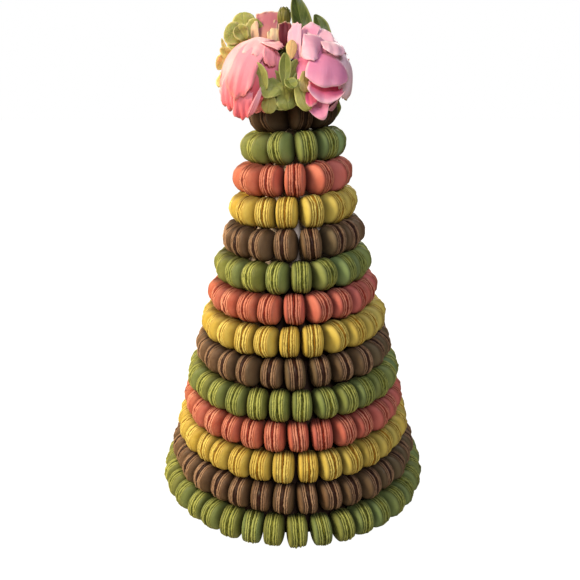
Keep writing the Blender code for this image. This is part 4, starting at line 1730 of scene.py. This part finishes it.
# The hydrangea heads and the leaves. A blade gives its way, the way its face looks, its length,
# width, bend and fold, and where it needs them its belly, start and tone.
SPRIGS = (
    Sprig("hydrangea_front_petals", "hydrangea_front", HYDRANGEA_SLOT, HYDRANGEA, (-10, -70, 563), (
        Blade((-0.90, -0.20, 0.22), (-0.25, -1, 0.45), 28, 27, -0.14, -0.22, 1.5, (-12, -74, 562)),
        Blade((-0.62, -0.15, -0.75), (-0.10, -1, 0.25), 29, 29, -0.20, -0.20, 1.5, (-8, -72, 566)),
        Blade((0.25, -0.10, -0.95), (0.15, -1, 0.2), 27, 26, -0.16, -0.18, 1.5, (-12, -74, 566)),
        Blade((0.75, -0.10, -0.65), (0.25, -1, 0.1), 29, 24, -0.12, -0.16, 1.5, (-4, -68, 566)),
        Blade((0.30, 0.05, -0.95), (0.2, -1, 0.1), 34, 22, -0.06, -0.16, 1.5, (6, -66, 574)),
        Blade((0.70, 0.05, 0.70), (0.2, -1, 0.1), 24, 20, -0.08, 0.16, 1.4, (-2, -66, 562)),
        Blade((0.55, -0.45, -0.45), (0.1, -0.7, 0.75), 15, 17, -0.20, 0.30, 1.5, (-9, -82, 573)),
        Blade((0.02, 0.15, 1.0), (0.1, -1, 0.1), 36, 15, 0.10, 0.22, 1.2, (-11, -72, 566)),
        Blade((0.30, 0.25, 0.80), (0.5, -1, 0.1), 30, 13, 0.12, -0.22, 1.2, (-8, -70, 568)),
        Blade((-0.60, 0.10, 0.60), (-0.2, -1, 0.3), 22, 17, -0.10, 0.20, 1.3, (-14, -68, 566)),
        Blade((0.10, 0.35, 0.95), (0.1, -1, 0.3), 22, 13, 0.05, -0.20, 1.4, (-4, -64, 596), 1.0),
        Blade((-0.12, -0.05, -0.98), (-0.2, -1, 0.2), 25, 19, -0.12, -0.20, 1.5, (-28, -75, 560), 0.15),
        Blade((-0.85, 0.00, -0.30), (-0.3, -1, 0.3), 18, 16, -0.12, 0.20, 1.4, (-18, -66, 560)),
        Blade((0.15, -0.10, -0.98), (0.2, -1, 0.2), 23, 17, -0.10, -0.18, 1.5, (12, -80, 582), 0.4),
        Blade((0.36, -0.10, -0.92), (0.2, -1, 0.1), 37, 21, -0.05, -0.16, 1.5, (4, -78, 573), 0.1),
        Blade((-0.34, -0.05, 0.92), (-0.3, -1, 0.1), 32, 18, -0.04, 0.10, 1.2, (-33, -77, 561), 0.1),
    ), 5.0, seed=31),
    Sprig("hydrangea_top_left_petals", "hydrangea_top_left", HYDRANGEA_SLOT, HYDRANGEA_PALE, TOP_LEFT, (
        Blade((-0.70, -0.10, 0.30), (-0.1, -1, 0.3), 27, 30, -0.12, -0.14, 1.5),
        Blade((-0.15, 0.05, 1.0), (0, -1, 0.1), 30, 30, -0.10, -0.14, 1.5),
        Blade((0.60, 0.05, 0.75), (0.1, -1, 0.2), 25, 24, 0.08, -0.14, 1.5),
        Blade((-0.85, -0.10, -0.35), (-0.2, -1, 0.4), 24, 25, -0.10, -0.18, 1.5),
        Blade((-0.20, -0.25, -0.90), (-0.2, -1, 0.2), 20, 24, -0.10, -0.14, 1.5),
        Blade((-0.40, -0.15, 0.60), (-0.1, -1, 0.2), 20, 20, -0.14, 0.20, 1.5, (-60, 4, 622)),
    ), 4.0, seed=32),
    Sprig("hydrangea_left_petals", "hydrangea_left", HYDRANGEA_SLOT, HYDRANGEA_PEACH, (-82, -8, 592), (
        Blade((-0.10, -0.45, 0.90), (-0.4, -1, 0.1), 22, 20, 0.08, -0.14, 1.5),
        Blade((-0.35, -0.50, -0.80), (-0.5, -1, 0.2), 30, 20, -0.08, -0.14, 1.4),
        Blade((-0.60, -0.30, 0.20), (-0.4, -1, 0.3), 15, 19, -0.08, -0.16, 1.5),
        Blade((-0.22, 0.10, 1.00), (-0.3, -1, 0.1), 30, 7, 0.10, 0.25),
        Blade((-0.10, -0.60, -0.40), (-0.5, -1, 0.3), 18, 18, -0.08, 0.16, 1.5),
    ), 4.0, seed=33),
    Sprig("hydrangea_back_petals", "hydrangea_back", HYDRANGEA_SLOT, HYDRANGEA, (-2, 74, 572), (
        Blade((-0.85, 0.15, 0.15), (0, 1, 0.4), 24, 26, -0.10, 0.14, 1.4),
        Blade((0.85, 0.15, 0.10), (0, 1, 0.4), 24, 26, -0.10, -0.14, 1.4),
        Blade((0.10, 0.15, 0.95), (0, 1, -0.2), 24, 25, 0.10, 0.14, 1.4),
        Blade((0.05, 0.10, -0.95), (0, 1, 0.2), 22, 25, -0.10, 0.14, 1.4),
        Blade((0.60, 0.25, -0.65), (0, 1, 0.3), 20, 21, -0.10, 0.18, 1.4),
    ), 6.0, seed=34),
    Sprig("hydrangea_right_petals", "hydrangea_right", HYDRANGEA_SLOT, HYDRANGEA, (66, 12, 566), (
        Blade((0.02, -0.25, -0.90), (1, -0.4, 0.1), 14, 20, 0.06, 0.14, 1.4),
        Blade((0.00, 0.50, 0.70), (1, 0.3, 0.2), 20, 23, 0.06, -0.14, 1.4),
        Blade((0.00, 0.80, -0.30), (1, 0.2, 0.1), 20, 21, 0.06, 0.14, 1.4),
    ), 6.0, seed=35),
    Sprig("leaf_top_blade", "leaf_top", LEAF_SLOT, DARK_LEAF, (20, 5, 612), (
        Blade((-0.30, 0.14, 0.93), (0.25, -1, 0.1), 66, 26, 0.06, 0.25),
    ), rows=30, columns=17, seed=41),
    Sprig("leaf_top_small_blade", "leaf_top_small", LEAF_SLOT, DARK_LEAF, (45, 6, 616), (
        Blade((-0.42, 0.15, 0.90), (0.3, -1, 0.2), 42, 20, -0.06, 0.30),
    ), rows=26, columns=15, seed=42),
    Sprig("leaf_back_left_blade", "leaf_back_left", LEAF_SLOT, DARK_LEAF, (-48, 52, 566), (
        Blade((-0.55, 0.50, -0.62), (-0.3, 0.3, 1), 42, 24, -0.15, 0.25),
    ), rows=26, columns=15, seed=43),
    Sprig("leaf_back_right_blade", "leaf_back_right", LEAF_SLOT, DARK_LEAF, (50, 58, 560), (
        Blade((0.30, 0.62, -0.70), (0.3, 0.3, 1), 42, 23, -0.15, 0.25),
    ), rows=26, columns=15, seed=44),
)


@dataclass
class Bud:
    """The closed bud at the top."""

    centre_mm: tuple = (-12.0, 12.0, 650.0)
    radii_mm: tuple = (8.5, 8.5, 12.5)
    thickness: float = 0.5 * MM
    rows: int = 14
    columns: int = 9
    root_deg: float = 172.0         # where the scales start, from the top
    # From the inside out: the scales, their distance over the bud's radius, and where they end.
    layers: tuple = ((4, 0.86, 6.0), (5, 0.95, 22.0), (5, 1.0, 48.0))
    scale_width: float = 0.75       # over a scale's share of the way round
    point: float = 0.12             # how much shorter its sides are than its middle
    flare: float = 0.05             # how far its tip stands out
    overlap: float = 0.03           # how far one side of it stands over the other
    seed: int = 61

    def _scale(self, azimuth: float, count: int, size: float, tip: float) -> np.ndarray:
        """Lay out one scale.

        Args:
            azimuth: where it stands round the bud.
            count: the number of scales in its layer.
            size: its distance over the bud's radius.
            tip: where it ends, in degrees from the top.

        Returns:
            Its middle surface, as rows and columns of points.
        """
        along = np.linspace(0, 1, self.rows)[:, None]
        across = np.linspace(-1, 1, self.columns)[None, :]
        climb = math.radians(tip - self.root_deg)
        polar = math.radians(self.root_deg) + climb * along * (1 - self.point * across**2)
        fullness = np.sin(math.pi * (0.12 + 0.8 * along)) ** 0.6
        reach = self.scale_width * math.pi / count * fullness
        angle = azimuth + across * reach / np.maximum(np.sin(polar), 0.5)
        distance = size * (1 + self.flare * along**6) + self.overlap * across
        up = np.cos(polar) * np.ones_like(angle)
        way = np.stack([np.sin(polar) * np.cos(angle), np.sin(polar) * np.sin(angle), up], -1)
        centre, radii = np.array(self.centre_mm) * MM, np.array(self.radii_mm) * MM
        return centre + radii * distance[..., None] * way

    def build(self, effects: SharedEffects) -> None:
        """Build the bud from overlapping scales.

        Args:
            effects: the shared effects.
        """
        draw = np.random.default_rng(self.seed)
        parts = MeshParts()
        along, across = across_sheet(self.rows, self.columns)
        for layer, (count, size, tip) in enumerate(self.layers):
            for index in range(count):
                azimuth = math.tau * (index + 0.5 * layer) / count
                points, faces = closed_sheet(self._scale(azimuth, count, size, tip), self.thickness)
                parts.add(
                    points, faces, 0, along=along, across=across, own=draw.uniform(), tone=0.0
                )
        piece = parts.build("bud_top_scales", [BUD_GREEN.material(effects)])
        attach(piece, BODY)
        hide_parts("bud_top")
        LOG.info("bud_top_scales: %d points", parts.count)


@dataclass
class Foliage:
    """The leafy middle that the flowers are stuck in."""

    centre_mm: tuple = (-2.0, 1.0, 590.0)
    radii_mm: tuple = (34.0, 32.0, 32.5)
    leaves: int = 60
    leaf_lengths_mm: tuple = (20, 28)
    leaf_widths_mm: tuple = (12, 17)
    root_share: float = 0.45        # how far out the leaves start, over the radii
    outward: float = 0.75           # how much they point outwards
    sideways: float = 0.65          # and to a side
    seed: int = 71

    def build(self, effects: SharedEffects) -> None:
        """Build a bunch of small leaves that point outwards from the middle.

        Args:
            effects: the shared effects.
        """
        draw = np.random.default_rng(self.seed)
        centre = np.array(self.centre_mm) * MM
        blades = []
        for index in range(self.leaves):
            height = 1.0 - 2.0 * (index + 0.5) / self.leaves
            angle = index * math.pi * (3.0 - math.sqrt(5.0))
            around = math.sqrt(1.0 - height * height)
            way = np.array([around * math.cos(angle), around * math.sin(angle), height])
            sideways = unit(np.cross(way, draw.normal(size=3)))
            root = centre + way * np.array(self.radii_mm) * MM * self.root_share
            aim = unit(way * self.outward + sideways * self.sideways)
            length = draw.uniform(*self.leaf_lengths_mm)
            width = draw.uniform(*self.leaf_widths_mm)
            start = tuple(root / MM)
            blades.append(Blade(tuple(aim), tuple(way), length, width, -0.15, 0.15, start=start))
        Sprig(
            "posy_foliage_leaves", "posy_foliage", "foliage_green", FOLIAGE, self.centre_mm,
            tuple(blades), rows=9, columns=7, seed=self.seed + 1,
        ).build(effects)


# ---------------------------------------------------------------- studio


LAMP_AIM = 0.33     # the height that the lamps look at, in metres


@dataclass
class Studio:
    """The pale floor, the soft lights and the camera."""

    camera_place: tuple = (-0.0046, -0.8082, 0.5522)
    camera_pitch_deg: float = 17.91     # how far it looks down
    camera_lens: float = 36.84
    floor_size: float = 30.0
    sky: float = 0.15                   # the light from all sides
    background: float = 1.0             # how bright the studio looks behind the tower
    floor_glow: float = 1.0             # how much light the floor shows of its own

    def build(self) -> None:
        """Build the studio."""
        self._floor()
        self._sky()
        self._lamp("key_light", (-1.55, -0.75, 1.45), 0.8, 57.0, (1.0, 0.85, 0.53))
        self._lamp("front_light", (0.35, -1.9, 1.75), 0.7, 24.5, (0.95, 1.0, 1.0))
        self._lamp("edge_light", (-1.5, 0.9, 1.1), 0.8, 18.0, (1.0, 0.86, 0.62))
        self._lamp("back_light", (0.4, 1.9, 1.5), 1.0, 34.0, (1.0, 0.96, 0.9))
        self._camera()
        bpy.context.scene.view_settings.view_transform = "Standard"

    def _floor(self) -> None:
        """Build the floor, which looks white but throws only some light back at the tower."""
        half = self.floor_size / 2
        mesh = bpy.data.meshes.new("floor")
        corners = [(-half, -half, 0), (half, -half, 0), (half, half, 0), (-half, half, 0)]
        mesh.from_pydata(corners, [], [(0, 1, 2, 3)])
        made = Finish("floor_white", 0.9, 0.1)
        tree = made.tree
        seen = tree.add("ShaderNodeLightPath").outputs["Is Camera Ray"]
        dust = tree.ramp(tree.noise(made.where(), 3.0), 0.3, 0.7)
        under_glow = tree.blend(dust, Paint(94, 94, 94), Paint(97, 97, 96))
        made.colour(tree.blend(seen, Paint(184, 179, 166), under_glow))
        made.shader.inputs["Emission Color"].default_value = (1.0, 1.0, 1.0, 1.0)
        glow = tree.maths("MULTIPLY", seen, self.floor_glow)
        tree.tree.links.new(glow, made.shader.inputs["Emission Strength"])
        mesh.materials.append(made.material)
        floor = bpy.data.objects.new("floor", mesh)
        bpy.context.scene.collection.objects.link(floor)

    def _sky(self) -> None:
        """Light the scene evenly from all sides, in front of a white background."""
        world = bpy.data.worlds.new("white_studio")
        world.use_nodes = True
        tree = NodeTree(world.node_tree)
        background = world.node_tree.nodes["Background"]
        seen = tree.add("ShaderNodeLightPath").outputs["Is Camera Ray"]
        strength = tree.maths("MULTIPLY_ADD", seen, self.background - self.sky, self.sky)
        world.node_tree.links.new(strength, background.inputs["Strength"])
        tint = tree.blend(seen, Paint(255, 232, 200), Paint(255, 255, 255))
        world.node_tree.links.new(tint, background.inputs["Color"])
        bpy.context.scene.world = world

    @staticmethod
    def _lamp(name: str, place: tuple, size: float, power: float, colour: tuple) -> None:
        """Add a large soft lamp that looks at the tower.

        Args:
            name: the lamp's name.
            place: where it stands, in metres.
            size: the side of its square, in metres.
            power: its power in watts.
            colour: its red, green and blue, from 0 to 1.
        """
        data = bpy.data.lights.new(name, "AREA")
        data.size = size
        data.energy = power
        data.color = colour
        lamp = bpy.data.objects.new(name, data)
        lamp.location = place
        way = Vector((0.0, 0.0, LAMP_AIM)) - Vector(place)
        lamp.rotation_euler = way.to_track_quat("-Z", "Y").to_euler()
        bpy.context.scene.collection.objects.link(lamp)

    def _camera(self) -> None:
        """Add the camera."""
        data = bpy.data.cameras.new("camera")
        data.sensor_width = 36.0
        data.lens = self.camera_lens
        camera = bpy.data.objects.new("camera", data)
        camera.location = self.camera_place
        camera.rotation_euler = (math.radians(90.0 - self.camera_pitch_deg), 0.0, 0.0)
        bpy.context.scene.collection.objects.link(camera)
        bpy.context.scene.camera = camera


def main() -> None:
    """Build the tower, the posy and the studio."""
    logging.basicConfig(level=logging.INFO, format="%(message)s")
    effects = SharedEffects()
    Cone().build()
    MacaronTower().build(effects)
    for flower in FLOWERS:
        flower.build(effects)
    for sprig in SPRIGS:
        sprig.build(effects)
    Bud().build(effects)
    Foliage().build(effects)
    Studio().build()


if __name__ == "__main__":
    main()
